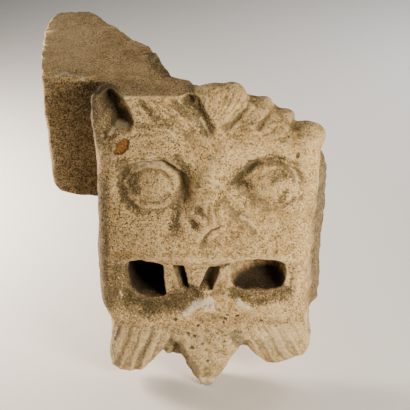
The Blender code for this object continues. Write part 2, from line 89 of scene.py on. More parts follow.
ROUGH_CELL = 0.0024                                 # cells of the block before it is carved
FINE_CELL = 0.00115       # cells that carry the fine relief
FINE_DEPTH = 0.031                                  # the relief is fine down to here behind the face
MOST_TRIANGLES = 190000
print("mask", HEAD_WIDTH, "x", HEAD_HEIGHT, "m, fine cells of", FINE_CELL, "m")

# %% [markdown]
# ## Small helpers
#
# Blender's modifiers do the heavy work, and numpy moves all points at once. Reading the points
# into one array and writing them back is far quicker than a loop over vertices.

# %% Helpers for meshes
def apply_modifiers(item):
    """Turn the result of the modifiers into the object's own mesh."""
    bpy.context.view_layer.update()
    graph = bpy.context.evaluated_depsgraph_get()
    mesh = bpy.data.meshes.new_from_object(item.evaluated_get(graph))
    item.modifiers.clear()
    item.data = mesh


def read_points(item):
    """Vertex positions as an array of rows."""
    flat = np.empty(len(item.data.vertices) * 3)
    item.data.vertices.foreach_get("co", flat)
    return flat.reshape(-1, 3)


def write_points(item, points):
    """Move the vertices to new positions."""
    item.data.vertices.foreach_set("co", points.ravel())
    item.data.update()


def read_normals(item):
    """Vertex normals as an array of rows."""
    flat = np.empty(len(item.data.vertices) * 3, np.float32)
    item.data.vertex_normals.foreach_get("vector", flat)
    return flat.reshape(-1, 3).astype(float)


def ease(low, high, value):
    """Smooth step from 0 at low to 1 at high."""
    t = np.clip((value - low) / (high - low), 0, 1)
    return t * t * (3 - 2 * t)


def voxel_remesh(item, size):
    """Fuse everything into one skin of even cells."""
    modifier = item.modifiers.new("remesh", "REMESH")
    modifier.mode = "VOXEL"
    modifier.voxel_size = size
    modifier.adaptivity = 0
    apply_modifiers(item)


def smooth(item, factor, passes):
    """Wear the edges down a little."""
    modifier = item.modifiers.new("smooth", "SMOOTH")
    modifier.factor = factor
    modifier.iterations = passes
    apply_modifiers(item)


def cut(item, cutter):
    """Take another body away from the block, then drop that body."""
    modifier = item.modifiers.new("cut", "BOOLEAN")
    modifier.operation = "DIFFERENCE"
    modifier.solver = "EXACT"
    modifier.object = cutter
    apply_modifiers(item)
    bpy.data.objects.remove(cutter, do_unlink=True)


# %% [markdown]
# ## The block
#
# A carver first saws and pitches the block to its main masses: the skull, the tufts of the beard,
# the locks of the hair and the slab of the tail. Here each mass is a loft, a stack of closed
# rings. Lofts are easy to read and to correct, because each ring says how wide and how deep the
# mass is at its height.

# %% Masses as stacks of rings
def rings_to_mesh(name, rings):
    """Close a stack of rings of equal point count into one body."""
    count = len(rings[0])
    points = [tuple(p) for ring in rings for p in ring]
    faces = []
    for level in range(len(rings) - 1):
        for i in range(count):
            j = (i + 1) % count
            a = level * count
            b = a + count
            faces.append((a + i, b + i, b + j, a + j))
    faces.append(tuple(range(count)))
    last = (len(rings) - 1) * count
    faces.append(tuple(last + i for i in reversed(range(count))))
    mesh = bpy.data.meshes.new(name)
    mesh.from_pydata(points, [], faces)
    item = bpy.data.objects.new(name, mesh)
    bpy.context.collection.objects.link(item)
    shell = bmesh.new()
    shell.from_mesh(mesh)
    bmesh.ops.recalc_face_normals(shell, faces=shell.faces)
    shell.to_mesh(mesh)
    shell.free()
    return item


def loft(name, stations, squareness, levels=36, count=72):
    """Stack of rounded rectangles. A station is (down, left, right, front, back) in shares."""
    table = np.array(stations)
    rings = []
    for down in np.linspace(table[0, 0], table[-1, 0], levels):
        left, right, front, back = (np.interp(down, table[:, 0], table[:, k]) for k in (1, 2, 3, 4))
        ring = []
        for angle in np.linspace(0, 2 * math.pi, count, endpoint=False):
            across = math.copysign(abs(math.cos(angle)) ** (2 / squareness), math.cos(angle))
            inward = math.copysign(abs(math.sin(angle)) ** (2 / squareness), math.sin(angle))
            x = ((left + right) / 2 + (right - left) / 2 * across) * HALF
            y = ((front + back) / 2 + (back - front) / 2 * inward) * HEAD_DEPTH
            ring.append((x, y, -down * HEAD_HEIGHT))
        rings.append(ring)
    return rings_to_mesh(name, rings)


skull = loft("skull", [
    (0.026, -0.94, -0.14, 0.02, 0.28), (0.036, -0.96, 0.05, 0.03, 0.28),
    (0.050, -0.97, 0.24, 0.03, 0.31), (0.070, -0.98, 0.46, 0.03, 0.36),
    (0.095, -0.98, 0.58, 0.03, 0.39), (0.125, -0.98, 0.68, 0.03, 0.41),
    (0.160, -0.975, 0.77, 0.01, 0.43), (0.185, -0.975, 0.94, -0.01, 0.46),
    (0.205, -0.975, 0.96, -0.02, 0.58), (0.290, -0.985, 0.965, -0.05, 0.82),
    (0.400, -0.99, 0.93, -0.10, 0.94), (0.470, -0.995, 0.92, -0.13, 1.0),
    (0.530, -1.01, 0.915, -0.14, 1.0), (0.570, -1.01, 0.92, -0.12, 0.99),
    (0.640, -1.01, 0.92, -0.11, 0.94), (0.690, -1.0, 0.915, -0.11, 0.86),
    (0.720, -0.97, 0.92, -0.10, 0.80), (0.760, -0.92, 0.93, -0.08, 0.70),
    (0.830, -0.89, 0.93, -0.04, 0.56)], 8)


def flank_block():
    """Right side of the block. It leans outwards behind the face and ends in a broken edge.
    A station is (down, front edge, outer edge, back) in shares."""
    table = np.array([
        (0.222, 0.945, 0.975, 0.60), (0.262, 0.955, 0.985, 0.72), (0.282, 0.96, 0.995, 0.76),
        (0.298, 0.96, 1.055, 0.78), (0.350, 0.95, 1.066, 0.82), (0.440, 0.92, 1.062, 0.90),
        (0.475, 0.91, 1.050, 0.94), (0.545, 0.905, 1.042, 0.93), (0.617, 0.91, 1.044, 0.92),
        (0.672, 0.91, 1.052, 0.88), (0.742, 0.91, 1.056, 0.80), (0.752, 0.91, 1.045, 0.76)])
    rings = []
    for down in np.linspace(table[0, 0], table[-1, 0], 34):
        near, outer, back = (np.interp(down, table[:, 0], table[:, k]) for k in (1, 2, 3))
        plan = [(0.50, 0.10), (near - 0.03, 0.05), (near, 0.10), (outer - 0.035, 0.30), (outer, 0.44),
                (outer, back - 0.08), (outer - 0.06, back), (0.50, back)]
        rings.append([(a * HALF, b * HEAD_DEPTH, -down * HEAD_HEIGHT) for a, b in plan])
    return rings_to_mesh("right_flank", rings)


right_flank = flank_block()
masses = [skull, right_flank]
print("skull and right flank:", [len(m.data.vertices) for m in masses], "points")

# %% Tufts of the beard and the blade of the ear
masses.append(loft("left_tuft", [
    (0.740, -0.93, -0.20, -0.04, 0.56), (0.800, -0.92, -0.25, -0.03, 0.54),
    (0.855, -0.93, -0.36, -0.01, 0.46), (0.905, -0.955, -0.46, 0.01, 0.40),
    (0.952, -0.95, -0.57, 0.05, 0.34), (0.978, -0.87, -0.65, 0.08, 0.30)], 5, 20))
masses.append(loft("middle_tuft", [
    (0.740, -0.40, 0.42, -0.09, 0.56), (0.800, -0.37, 0.40, -0.07, 0.54),
    (0.850, -0.32, 0.34, -0.06, 0.48), (0.890, -0.275, 0.27, -0.05, 0.44),
    (0.931, -0.235, 0.20, -0.04, 0.39), (0.966, -0.180, 0.13, -0.025, 0.33),
    (0.999, -0.110, 0.07, -0.01, 0.27), (1.014, -0.085, 0.045, 0.0, 0.24)], 4, 26))
masses.append(loft("right_tuft", [
    (0.740, 0.24, 0.93, -0.04, 0.56), (0.800, 0.27, 0.95, -0.03, 0.54),
    (0.850, 0.305, 0.955, -0.01, 0.48), (0.880, 0.36, 0.95, 0.0, 0.44),
    (0.905, 0.43, 0.93, 0.02, 0.40), (0.922, 0.48, 0.83, 0.04, 0.37),
    (0.938, 0.52, 0.71, 0.06, 0.34), (0.950, 0.545, 0.63, 0.08, 0.32)], 5, 22))
# Stone left standing in the two notches, behind the fronts of the tufts
masses.append(loft("left_web", [
    (0.780, -0.50, -0.20, 0.08, 0.50), (0.900, -0.46, -0.22, 0.11, 0.42),
    (0.927, -0.44, -0.25, 0.14, 0.36)], 4, 12, 32))
masses.append(loft("right_web", [
    (0.780, 0.18, 0.50, 0.06, 0.50), (0.865, 0.26, 0.42, 0.08, 0.44),
    (0.885, 0.30, 0.37, 0.11, 0.38)], 4, 10, 32))
masses.append(loft("ear_blade", [
    (0.030, -0.985, -0.93, 0.02, 0.10), (0.060, -1.0, -0.90, 0.01, 0.22),
    (0.110, -1.01, -0.865, 0.01, 0.42), (0.200, -0.985, -0.80, 0.0, 0.50),
    (0.260, -0.98, -0.78, 0.0, 0.50)], 4, 18, 32))


# %% Locks of the hair
def lobe(name, centre, reach, girth, thick, turn):
    """Lock of hair: an egg that points outwards, turned clockwise from straight up."""
    steps = 28
    rings = []
    for i in range(1, steps):
        along = -math.cos(math.pi * i / steps)
        swell = math.sin(math.pi * i / steps) ** 0.8
        ring = []
        for angle in np.linspace(0, 2 * math.pi, 24, endpoint=False):
            ring.append((girth * swell * math.cos(angle), thick * swell * math.sin(angle), reach * along))
        rings.append(ring)
    item = rings_to_mesh(name, rings)
    place = Vector((centre[0] * HALF, centre[2] * HEAD_DEPTH, -centre[1] * HEAD_HEIGHT))
    item.data.transform(Matrix.Translation(place) @ Matrix.Rotation(turn, 4, "Y"))
    return item


HAIR_HUB = (0.02, 0.150)                            # the locks spring from here, above the brow
LOCKS = [(-66, 0.190, 0.032, 0.01), (-46, 0.150, 0.044, -0.01), (-6, 0.137, 0.050, 0.0),
         (11, 0.141, 0.070, 0.0), (29, 0.158, 0.052, 0.0), (64, 0.190, 0.034, 0.04),
         (80, 0.240, 0.028, 0.04)]                  # degrees from straight up, length, half width, front
for number, (degrees, reach, girth, front) in enumerate(LOCKS):
    turn = math.radians(degrees)
    middle = reach / 2
    centre = (HAIR_HUB[0] + middle * math.sin(turn) * HEAD_HEIGHT / HALF,
              HAIR_HUB[1] - middle * math.cos(turn), front + 0.16)
    masses.append(lobe("lock_%d" % number, centre, middle * HEAD_HEIGHT, girth * HEAD_HEIGHT,
                       0.16 * HEAD_DEPTH, turn))
masses.append(lobe("ear_stump", (0.845, 0.168, 0.17), 0.052 * HEAD_HEIGHT, 0.040 * HEAD_HEIGHT,
                   0.17 * HEAD_DEPTH, math.radians(97)))
print(len(LOCKS), "locks and one broken ear")


# %% The tail with its broken corner
def tail_block():
    """Slab in plan points (across, inward), in shares of the tail's width and length."""
    top = [(-0.61, -0.07), (-0.985, 0.01), (-1.02, 0.25), (-1.075, 0.72), (-1.065, 0.86),
           (-1.03, 0.96), (-0.99, 1.03), (-0.88, 1.03), (-0.79, 0.98), (-0.69, 0.82),
           (-0.52, 0.57), (-0.42, 0.45), (-0.37, 0.38), (-0.24, 0.0), (-0.18, -0.03),
           (-0.13, -0.05), (-0.13, -0.22), (-0.61, -0.22)]
    bottom = [(-0.61, -0.05), (-0.955, 0.02), (-1.0, 0.25), (-1.05, 0.72), (-1.05, 0.86),
              (-1.04, 0.96), (-1.02, 1.03), (-0.50, 1.03), (-0.38, 0.98), (-0.30, 0.82),
              (-0.20, 0.68), (-0.12, 0.58), (-0.05, 0.46), (0.10, 0.28), (0.22, 0.16),
              (0.46, 0.02), (0.46, -0.2), (-0.61, -0.2)]
    levels = 24
    spare = 0.004
    rings = []
    for level in range(levels + 1):
        t = level / levels
        z = -BED_DROP + spare - t * (TAIL_HEIGHT + 2 * spare)
        worn = 0.08 * max(0.0, (t - 0.86) / 0.14) ** 2
        ring = []
        for (a, b), (c, d) in zip(top, bottom):
            x = (a + (c - a) * t + worn * (a < -0.9) * (b < 0.5)) * TAIL_WIDTH
            y = TAIL_FRONT + (b + (d - b) * t) * TAIL_LENGTH
            ring.append((x, y, z))
        rings.append(ring)
    return rings_to_mesh("tail", rings)


masses.append(tail_block())
print(len(masses), "masses")

# %% [markdown]
# ## One skin
#
# The masses overlap. A voxel remesh pours one even skin over all of them, as if they had always
# been one block. The holes of the mouth and the flat beds are cut next, while the mesh is still
# light, because exact cuts take long on a fine mesh. A second remesh then gives cells small
# enough for the fine relief.

# %% Fuse the masses
block = masses[0]
block.name = "carved_limestone"
merged = bmesh.new()
for mass in masses:
    merged.from_mesh(mass.data)
merged.to_mesh(block.data)
merged.free()
for mass in masses[1:]:
    bpy.data.objects.remove(mass, do_unlink=True)
voxel_remesh(block, ROUGH_CELL)
smooth(block, 0.5, 3)
print("fused block:", len(block.data.vertices), "points")


# %% Cut the mouth
def mouth_cutter(name, rings, deepest):
    """Cutter along Y. A ring is (y, share points, size), scaled about the deepest spot."""
    outlines = []
    middle_x, middle_z = deepest
    for y, corners, size in rings:
        outline = []
        for a, d in corners:
            x = (middle_x + (a - middle_x) * size) * HALF
            z = -(middle_z + (d - middle_z) * size) * HEAD_HEIGHT
            outline.append((x, y, z))
        outlines.append(outline)
    return rings_to_mesh(name, outlines)


LIPS = -0.16 * HEAD_DEPTH
LEFT_RIM = [(-0.785, 0.578), (-0.760, 0.545), (-0.705, 0.525), (-0.616, 0.521), (-0.528, 0.527),
            (-0.448, 0.536), (-0.412, 0.545), (-0.408, 0.590), (-0.388, 0.650), (-0.415, 0.661),
            (-0.535, 0.661), (-0.643, 0.655), (-0.714, 0.640), (-0.762, 0.612)]
LEFT_INSIDE = [(-0.735, 0.585), (-0.725, 0.550), (-0.690, 0.530), (-0.616, 0.524), (-0.528, 0.530),
               (-0.448, 0.538), (-0.418, 0.547), (-0.410, 0.590), (-0.396, 0.656), (-0.415, 0.669),
               (-0.535, 0.670), (-0.643, 0.664), (-0.700, 0.648), (-0.725, 0.618)]
RIGHT_RIM = [(0.178, 0.560), (0.195, 0.541), (0.245, 0.525), (0.320, 0.517), (0.540, 0.517),
             (0.635, 0.525), (0.678, 0.542), (0.694, 0.570), (0.688, 0.602), (0.655, 0.630),
             (0.600, 0.641), (0.455, 0.645), (0.330, 0.643), (0.235, 0.633), (0.190, 0.606)]
FIRST_RIM = [(-0.335, 0.545), (-0.230, 0.547), (-0.205, 0.585), (-0.180, 0.638), (-0.200, 0.646),
             (-0.262, 0.640), (-0.300, 0.590)]
FIRST_INSIDE = [(-0.275, 0.553), (-0.235, 0.552), (-0.212, 0.587), (-0.190, 0.632), (-0.205, 0.640),
                (-0.238, 0.635), (-0.256, 0.592)]
SECOND_RIM = [(-0.005, 0.553), (0.098, 0.550), (0.080, 0.585), (0.020, 0.640), (-0.105, 0.640),
              (-0.060, 0.600)]
CLEAR = 2 * LIPS                                    # well in front of the lips
LEFT_HOLE = [(CLEAR, LEFT_RIM, 1.0), (LIPS + 0.04 * MOUTH_DEPTH, LEFT_RIM, 1.0),
             (LIPS + 0.25 * MOUTH_DEPTH, LEFT_INSIDE, 1.0), (LIPS + 0.80 * MOUTH_DEPTH, LEFT_INSIDE, 0.94),
             (LIPS + 0.95 * MOUTH_DEPTH, LEFT_INSIDE, 0.80), (LIPS + MOUTH_DEPTH, LEFT_INSIDE, 0.50)]
RIGHT_HOLE = [(CLEAR, RIGHT_RIM, 1.0)]
for share, size in ((0.10, 1.0), (0.35, 0.94), (0.60, 0.82), (0.82, 0.64), (1.0, 0.36)):
    RIGHT_HOLE.append((LIPS + share * BOWL_DEPTH, RIGHT_RIM, size))
FIRST_GAP = [(CLEAR, FIRST_RIM, 1.0), (LIPS + 0.45 * GAP_DEPTH, FIRST_RIM, 1.0),
             (LIPS + GAP_DEPTH, FIRST_INSIDE, 1.0), (LIPS + 1.6 * GAP_DEPTH, FIRST_INSIDE, 0.8)]
SECOND_GAP = [(CLEAR, SECOND_RIM, 1.0), (LIPS + 0.5 * GAP_DEPTH, SECOND_RIM, 1.0),
              (LIPS + GAP_DEPTH, SECOND_RIM, 0.85), (LIPS + 1.2 * GAP_DEPTH, SECOND_RIM, 0.6)]
for name, rings, deepest in (
        ("left_hole", LEFT_HOLE, (-0.56, 0.60)), ("right_hole", RIGHT_HOLE, (0.56, 0.605)),
        ("first_gap", FIRST_GAP, (-0.225, 0.60)), ("second_gap", SECOND_GAP, (0.0, 0.60))):
    cut(block, mouth_cutter(name, rings, deepest))
print("mouth cut:", len(block.data.vertices), "points")

# %% Dress the beds
END = TAIL_FRONT + TAIL_LENGTH
LOW_BED = -BED_DROP - TAIL_HEIGHT
WIDE = 3 * TAIL_WIDTH
# Boxes that saw off what stands over a bed or behind the end. Each has its x, y and z from and to.
for name, xs, ys, zs in (
        ("over", (-WIDE, -0.080 * TAIL_WIDTH), (-HEAD_DEPTH, 2 * END), (-BED_DROP, BED_DROP * 3)),
        ("under", (-WIDE, WIDE), (1.02 * HEAD_DEPTH, 2 * END), (LOW_BED - TAIL_HEIGHT, LOW_BED)),
        ("side_under", (-WIDE, -1.005 * HALF), (-HEAD_DEPTH, 2 * END), (LOW_BED - TAIL_HEIGHT, LOW_BED)),
        ("behind", (-WIDE, WIDE), (END, 2 * END), (2 * LOW_BED, -LOW_BED))):
    rings = [[(xs[0], ys[0], z), (xs[1], ys[0], z), (xs[1], ys[1], z), (xs[0], ys[1], z)] for z in zs]
    cut(block, rings_to_mesh(name, rings))
voxel_remesh(block, FINE_CELL)
smooth(block, 0.5, 2)
print("fine skin:", len(block.data.vertices), "points")

# %% [markdown]
# ## Carving the mask
#
# The mask is low relief on the front of the block, so each point only moves in or out, along Y.
# How far it moves is a sum of simple marks, like the marks of a carver's tools: a *stroke* of the
# gouge along a line, a *pad* that is left proud, a *socket* for an eye, a *welt* around it.
# A positive depth cuts in, a negative depth stands proud.
#
# The widths of the main forms are shares of the head's height and their depths are shares of the
# relief, so each can be changed in one place. The finer marks are in millimetres, as a chisel's
# are.

# %% Marks of the tools
UNIT = HEAD_HEIGHT / 100                            # widths of the main forms
RELIEF = 10 * MM                                    # depths of the main forms


def distance_to_path(x, z, path):
    """Distance to a line through share points (across, down)."""
    best = np.full(x.shape, 1e9)
    points = [(a * HALF, -d * HEAD_HEIGHT) for a, d in path]
    for (x0, z0), (x1, z1) in zip(points, points[1:]):
        dx, dz = x1 - x0, z1 - z0
        t = np.clip(((x - x0) * dx + (z - z0) * dz) / (dx * dx + dz * dz), 0, 1)
        best = np.minimum(best, np.hypot(x - x0 - t * dx, z - z0 - t * dz))
    return best


def stroke(x, z, path, half_width):
    """Soft furrow or welt along a line: 1 on it, 0 at its half width."""
    return np.clip(1 - (distance_to_path(x, z, path) / half_width) ** 2, 0, 1) ** 2


def oval(x, z, across, down, wide, high):
    """Square of the distance from the middle of an oval: 0 there and 1 on its rim."""
    return ((x - across * HALF) / wide) ** 2 + ((z + down * HEAD_HEIGHT) / high) ** 2


def pad(x, z, across, down, wide, high, softness=2):
    """Mound of 1 in its middle. The rim is crisp at softness 0.5 and melts away at 2."""
    return np.clip(1 - oval(x, z, across, down, wide, high), 0, 1) ** softness


def welt(x, z, across, down, wide, high, half_width):
    """Soft welt along the rim of an oval."""
    far = np.abs(np.sqrt(oval(x, z, across, down, wide, high)) - 1) * (wide + high) / 2
    return np.clip(1 - (far / half_width) ** 2, 0, 1) ** 2


def socket(x, z, across, down, wide, high, inner):
    """Hollow of an eye: steep under the brow and towards the nose, soft towards the cheek."""
    px, pz = (x - across * HALF) / wide, (z + down * HEAD_HEIGHT) / high
    far = np.sqrt(px ** 2 + pz ** 2) + 1e-9
    towards_brow = np.clip(0.75 * pz / far + 0.65 * inner * px / far, -1, 1)
    soft = 0.42 - 0.27 * towards_brow
    t = np.clip((1 - far) / soft, 0, 1)
    return t * t * (3 - 2 * t)


def furrows(x, z, marks, deep=MM, wide=MM):
    """Sum of strokes. A mark is (depth, half width, path), in the units deep and wide."""
    return sum(depth * deep * stroke(x, z, path, width * wide) for depth, width, path in marks)


def pads(x, z, marks, deep=MM, wide=MM):
    """Sum of pads. A mark is (depth, across, down, half width, half height)."""
    return sum(depth * deep * pad(x, z, across, down, width * wide, high * wide)
               for depth, across, down, width, high in marks)


# %% [markdown]
# ## Brows and eyes
#
# Each eye is a round ball in a sunk socket, under a brow that runs down to the nose. The left one
# still has its lid, and the right one is more worn. Spheres joined to the block would keep a
# crisp seam all round. Soft pads and welts melt into the face, as worn carving does.

# %% Brows and eyes
BROWS = [
    (-0.50, 7.0, [(-0.80, 0.200), (-0.60, 0.170), (-0.36, 0.170), (-0.20, 0.205), (-0.06, 0.26)]),
    (-0.50, 7.0, [(0.06, 0.25), (0.22, 0.200), (0.38, 0.175), (0.60, 0.170), (0.80, 0.200)]),
    (0.08, 3.0, [(-0.40, 0.215), (-0.26, 0.240), (-0.205, 0.280), (-0.23, 0.330)]),
    (0.30, 3.2, [(0.20, 0.290), (0.25, 0.258), (0.36, 0.232)]),
    (0.20, 2.6, [(0.36, 0.232), (0.55, 0.214), (0.72, 0.226)])]


def carve_eyes(x, z):
    """Main forms of the brows, sockets, balls and lids."""
    depth = 0.66 * socket(x, z, -0.50, 0.302, 11.8 * UNIT, 8.6 * UNIT, 1)
    depth += 0.66 * socket(x, z, 0.535, 0.302, 11.8 * UNIT, 8.6 * UNIT, -1)
    depth += 0.16 * welt(x, z, -0.49, 0.300, 9.3 * UNIT, 7.6 * UNIT, 2.6 * UNIT)
    depth += -0.62 * pad(x, z, -0.50, 0.300, 8.9 * UNIT, 7.2 * UNIT, 1.0)
    upper = ease(-0.325, -0.275, z / HEAD_HEIGHT)
    depth += -0.20 * upper * welt(x, z, -0.495, 0.300, 7.6 * UNIT, 6.1 * UNIT, 1.7 * UNIT)
    depth += -0.34 * pad(x, z, -0.515, 0.300, 6.6 * UNIT, 4.6 * UNIT, 0.7)
    depth += -0.85 * pad(x, z, 0.560, 0.300, 8.6 * UNIT, 7.4 * UNIT, 1.5)
    return depth * RELIEF + furrows(x, z, BROWS, RELIEF, UNIT)


EYE_MARKS = [
    (0.6, 3.4, [(-0.770, 0.264), (-0.666, 0.233), (-0.474, 0.219), (-0.307, 0.236)]),
    (0.3, 3.0, [(-0.307, 0.236), (-0.213, 0.282), (-0.251, 0.327), (-0.337, 0.356)]),
    (0.9, 1.6, [(-0.717, 0.290), (-0.668, 0.268), (-0.595, 0.256), (-0.510, 0.252), (-0.427, 0.256),
                (-0.359, 0.270), (-0.310, 0.296)]),
    (-0.4, 2.2, [(-0.66, 0.250), (-0.52, 0.238), (-0.43, 0.241), (-0.35, 0.255), (-0.28, 0.280)]),
    (0.8, 3.2, [(0.197, 0.292), (0.226, 0.262), (0.290, 0.240), (0.362, 0.239), (0.327, 0.262)]),
    (0.6, 2.4, [(0.341, 0.283), (0.300, 0.292), (0.250, 0.300)]),
    (0.5, 2.2, [(0.385, 0.222), (0.500, 0.212), (0.619, 0.212), (0.720, 0.222)]),
    (-0.6, 1.3, [(0.690, 0.244), (0.738, 0.265), (0.758, 0.290), (0.752, 0.315)]),
    (0.4, 2.0, [(0.720, 0.240), (0.775, 0.262), (0.792, 0.290)]),
    (0.5, 3.0, [(0.730, 0.336), (0.635, 0.362), (0.500, 0.368)]),
    (0.4, 1.8, [(0.430, 0.280), (0.500, 0.258), (0.600, 0.254), (0.680, 0.272)])]
SMALL_PITS = [(0.661, 0.318, 2.0, 1.4), (0.750, 0.199, 2.4, 0.9), (0.172, 0.122, 1.8, 1.2),
              (0.121, 0.118, 1.6, 1.0), (0.037, 0.150, 1.4, 0.9), (-0.740, 0.243, 3.0, 0.9),
              (-0.690, 0.262, 2.6, 1.0), (-0.686, 0.292, 2.4, 0.9), (0.250, 0.262, 2.2, 1.0),
              (0.222, 0.282, 2.0, 0.9), (0.300, 0.246, 1.8, 0.9)]        # across, down, half width, depth


def refine_eyes(x, z):
    """Worn rims of the balls, creases of the lids and single pits."""
    worn_ball = (-0.6, -0.530, 0.296, 15.0, 11.0)
    holes = [(deep, across, down, width, width) for across, down, width, deep in SMALL_PITS]
    return furrows(x, z, EYE_MARKS) + pads(x, z, [worn_ball] + holes)


# %% [markdown]
# ## Nose and muzzle
#
# The snout is broad and low, with wrinkles across its bridge, a nostril and a split under it. It
# could be sculpted by hand with brushes, but a script has to give the same result each time, and
# in a table each mark can be read and corrected by itself.

# %% Nose and muzzle
NOSE_FOLDS = [
    (-0.50, 8.5, [(0.02, 0.18), (0.0, 0.30), (-0.03, 0.39)]),
    (0.20, 4.0, [(-0.20, 0.290), (-0.235, 0.345), (-0.29, 0.400), (-0.34, 0.440)]),
    (0.12, 3.2, [(0.12, 0.34), (0.25, 0.39), (0.36, 0.42)]),
    (0.18, 2.0, [(-0.06, 0.470), (-0.03, 0.438), (0.08, 0.409)])]
MUZZLE = [(-0.42, -0.05, 0.400, 11.5, 7.4), (-0.16, -0.07, 0.350, 5.0, 5.4), (0.22, -0.13, 0.402, 3.4, 2.8),
          (-0.50, -0.40, 0.465, 16.5, 9.5), (-0.50, 0.42, 0.465, 16.5, 9.5)]


def carve_nose(x, z):
    """Worn nose with its folds, and the pads of the muzzle."""
    return furrows(x, z, NOSE_FOLDS, RELIEF, UNIT) + pads(x, z, MUZZLE, RELIEF, UNIT)


NOSE_MARKS = [
    (-1.1, 1.6, [(-0.155, 0.304), (-0.090, 0.290), (-0.024, 0.280)]),
    (0.7, 1.8, [(-0.160, 0.290), (-0.095, 0.276), (-0.040, 0.266)]),
    (-1.0, 1.6, [(-0.055, 0.248), (0.028, 0.255), (0.060, 0.262), (0.090, 0.276)]),
    (0.6, 1.7, [(-0.040, 0.262), (0.020, 0.269), (0.060, 0.284)]),
    (-0.9, 1.6, [(0.010, 0.346), (0.040, 0.372), (0.022, 0.395)]),
    (0.8, 2.4, [(-0.020, 0.350), (-0.010, 0.375), (-0.030, 0.395)]),
    (0.6, 2.6, [(-0.200, 0.310), (-0.240, 0.360), (-0.300, 0.410)]),
    (0.9, 2.6, [(-0.048, 0.466), (-0.035, 0.441), (0.017, 0.424), (0.100, 0.412)]),
    (-0.9, 2.4, [(-0.060, 0.430), (-0.010, 0.412), (0.040, 0.394)]),
    (1.0, 1.6, [(0.165, 0.355), (0.235, 0.378)]),
    (-0.9, 2.4, [(0.270, 0.388), (0.350, 0.400), (0.420, 0.418)]),
    (0.9, 2.4, [(-0.170, 0.395), (-0.125, 0.412), (-0.080, 0.425)])]
NOSTRIL = [(1.3, -0.132, 0.400, 4.6, 3.8), (0.8, -0.085, 0.352, 4.4, 3.6)]


def refine_nose(x, z):
    """Wrinkles of the snout, the nostril and the seam under the nose."""
    return furrows(x, z, NOSE_MARKS) + pads(x, z, NOSTRIL)


# %% [markdown]
# ## Mouth and chin
#
# The holes are cut already. The lips are low welts above and below them, the teeth stand in a
# sunk band between, and a groove parts the lower lip from the chin. All of it is shallow, so it
# is relief on the same mesh and needs no bodies of its own.

# %% Mouth and chin
LIPS_AND_CHIN = [
    (-0.12, 2.2, [(-0.78, 0.535), (-0.60, 0.510), (0.0, 0.522), (0.60, 0.510), (0.76, 0.53)]),
    (0.52, 4.2, [(-0.72, 0.662), (-0.57, 0.684), (-0.38, 0.680), (-0.16, 0.655)]),
    (0.26, 3.8, [(0.26, 0.648), (0.46, 0.655), (0.62, 0.650)]),
    (-0.26, 4.6, [(-0.60, 0.745), (-0.24, 0.720), (0.0, 0.695), (0.30, 0.700), (0.62, 0.715)])]


def carve_mouth(x, z):
    """Lips and the sunk band of the teeth, and the welt of the chin."""
    across, down = x / HALF, -z / HEAD_HEIGHT
    band = ease(0.525, 0.565, down) * (1 - ease(0.640, 0.665, down))
    band = band * ease(-0.84, -0.72, across) * (1 - ease(0.72, 0.82, across))
    return 0.24 * RELIEF * band + furrows(x, z, LIPS_AND_CHIN, RELIEF, UNIT)


MOUTH_MARKS = [
    (1.1, 1.2, [(-0.142, 0.560), (-0.062, 0.562)]),
    (0.9, 4.4, [(-0.800, 0.560), (-0.780, 0.594), (-0.740, 0.634)]),
    (0.8, 1.8, [(-0.40, 0.664), (-0.28, 0.660), (-0.16, 0.640)]),
    (0.7, 2.0, [(0.715, 0.560), (0.745, 0.590), (0.730, 0.620)])]
PITS_BY_THE_TEETH = [(0.122, 0.556, 2.25), (0.139, 0.546, 1.95), (0.156, 0.540, 2.4),
                     (0.112, 0.566, 1.5)]           # across, down, half width in mm


def refine_mouth(x, z):
    """Corner of the lips, the seam over the teeth and the pits beside them."""
    holes = [(2.0, across, down, width, width) for across, down, width in PITS_BY_THE_TEETH]
    return furrows(x, z, MOUTH_MARKS) + pads(x, z, holes)


# %% [markdown]
# ## Hair and ear
#
# The locks are masses already, so their outline is right from every side. What they still need is
# a furrow between one lock and the next, and fine strands. The strands are waves of the angle
# around one spot over the brow, so they fan out by themselves. The left ear is a deep hollow.

# %% Hair and ear
LOCK_FURROWS = [
    (0.60, 3.1, [(-0.165, 0.046), (-0.11, 0.070), (-0.02, 0.126)]),
    (0.16, 2.4, [(-0.30, 0.060), (-0.21, 0.090), (-0.12, 0.128)]),
    (0.26, 1.8, [(0.42, 0.034), (0.30, 0.064), (0.13, 0.124)]),
    (0.17, 1.8, [(-0.58, 0.052), (-0.53, 0.072), (-0.46, 0.096)]),
    (0.22, 1.5, [(0.58, 0.060), (0.51, 0.090), (0.42, 0.125)]),
    (0.15, 1.5, [(0.78, 0.105), (0.71, 0.130), (0.60, 0.155)])]
EAR_FURROWS = [
    (1.50, 4.0, [(-0.84, 0.034), (-0.80, 0.066), (-0.750, 0.102)]),
    (0.90, 2.8, [(-0.865, 0.050), (-0.845, 0.085), (-0.800, 0.118)]),
    (-0.35, 1.6, [(-0.85, 0.138), (-0.78, 0.130), (-0.66, 0.132)])]


def carve_hair(x, z):
    """Furrows between the locks, and the hollow of the ear."""
    notch = 0.45 * RELIEF * pad(x, z, -0.175, 0.044, 3.0 * UNIT, 2.2 * UNIT)
    return notch + furrows(x, z, LOCK_FURROWS + EAR_FURROWS, RELIEF, UNIT)


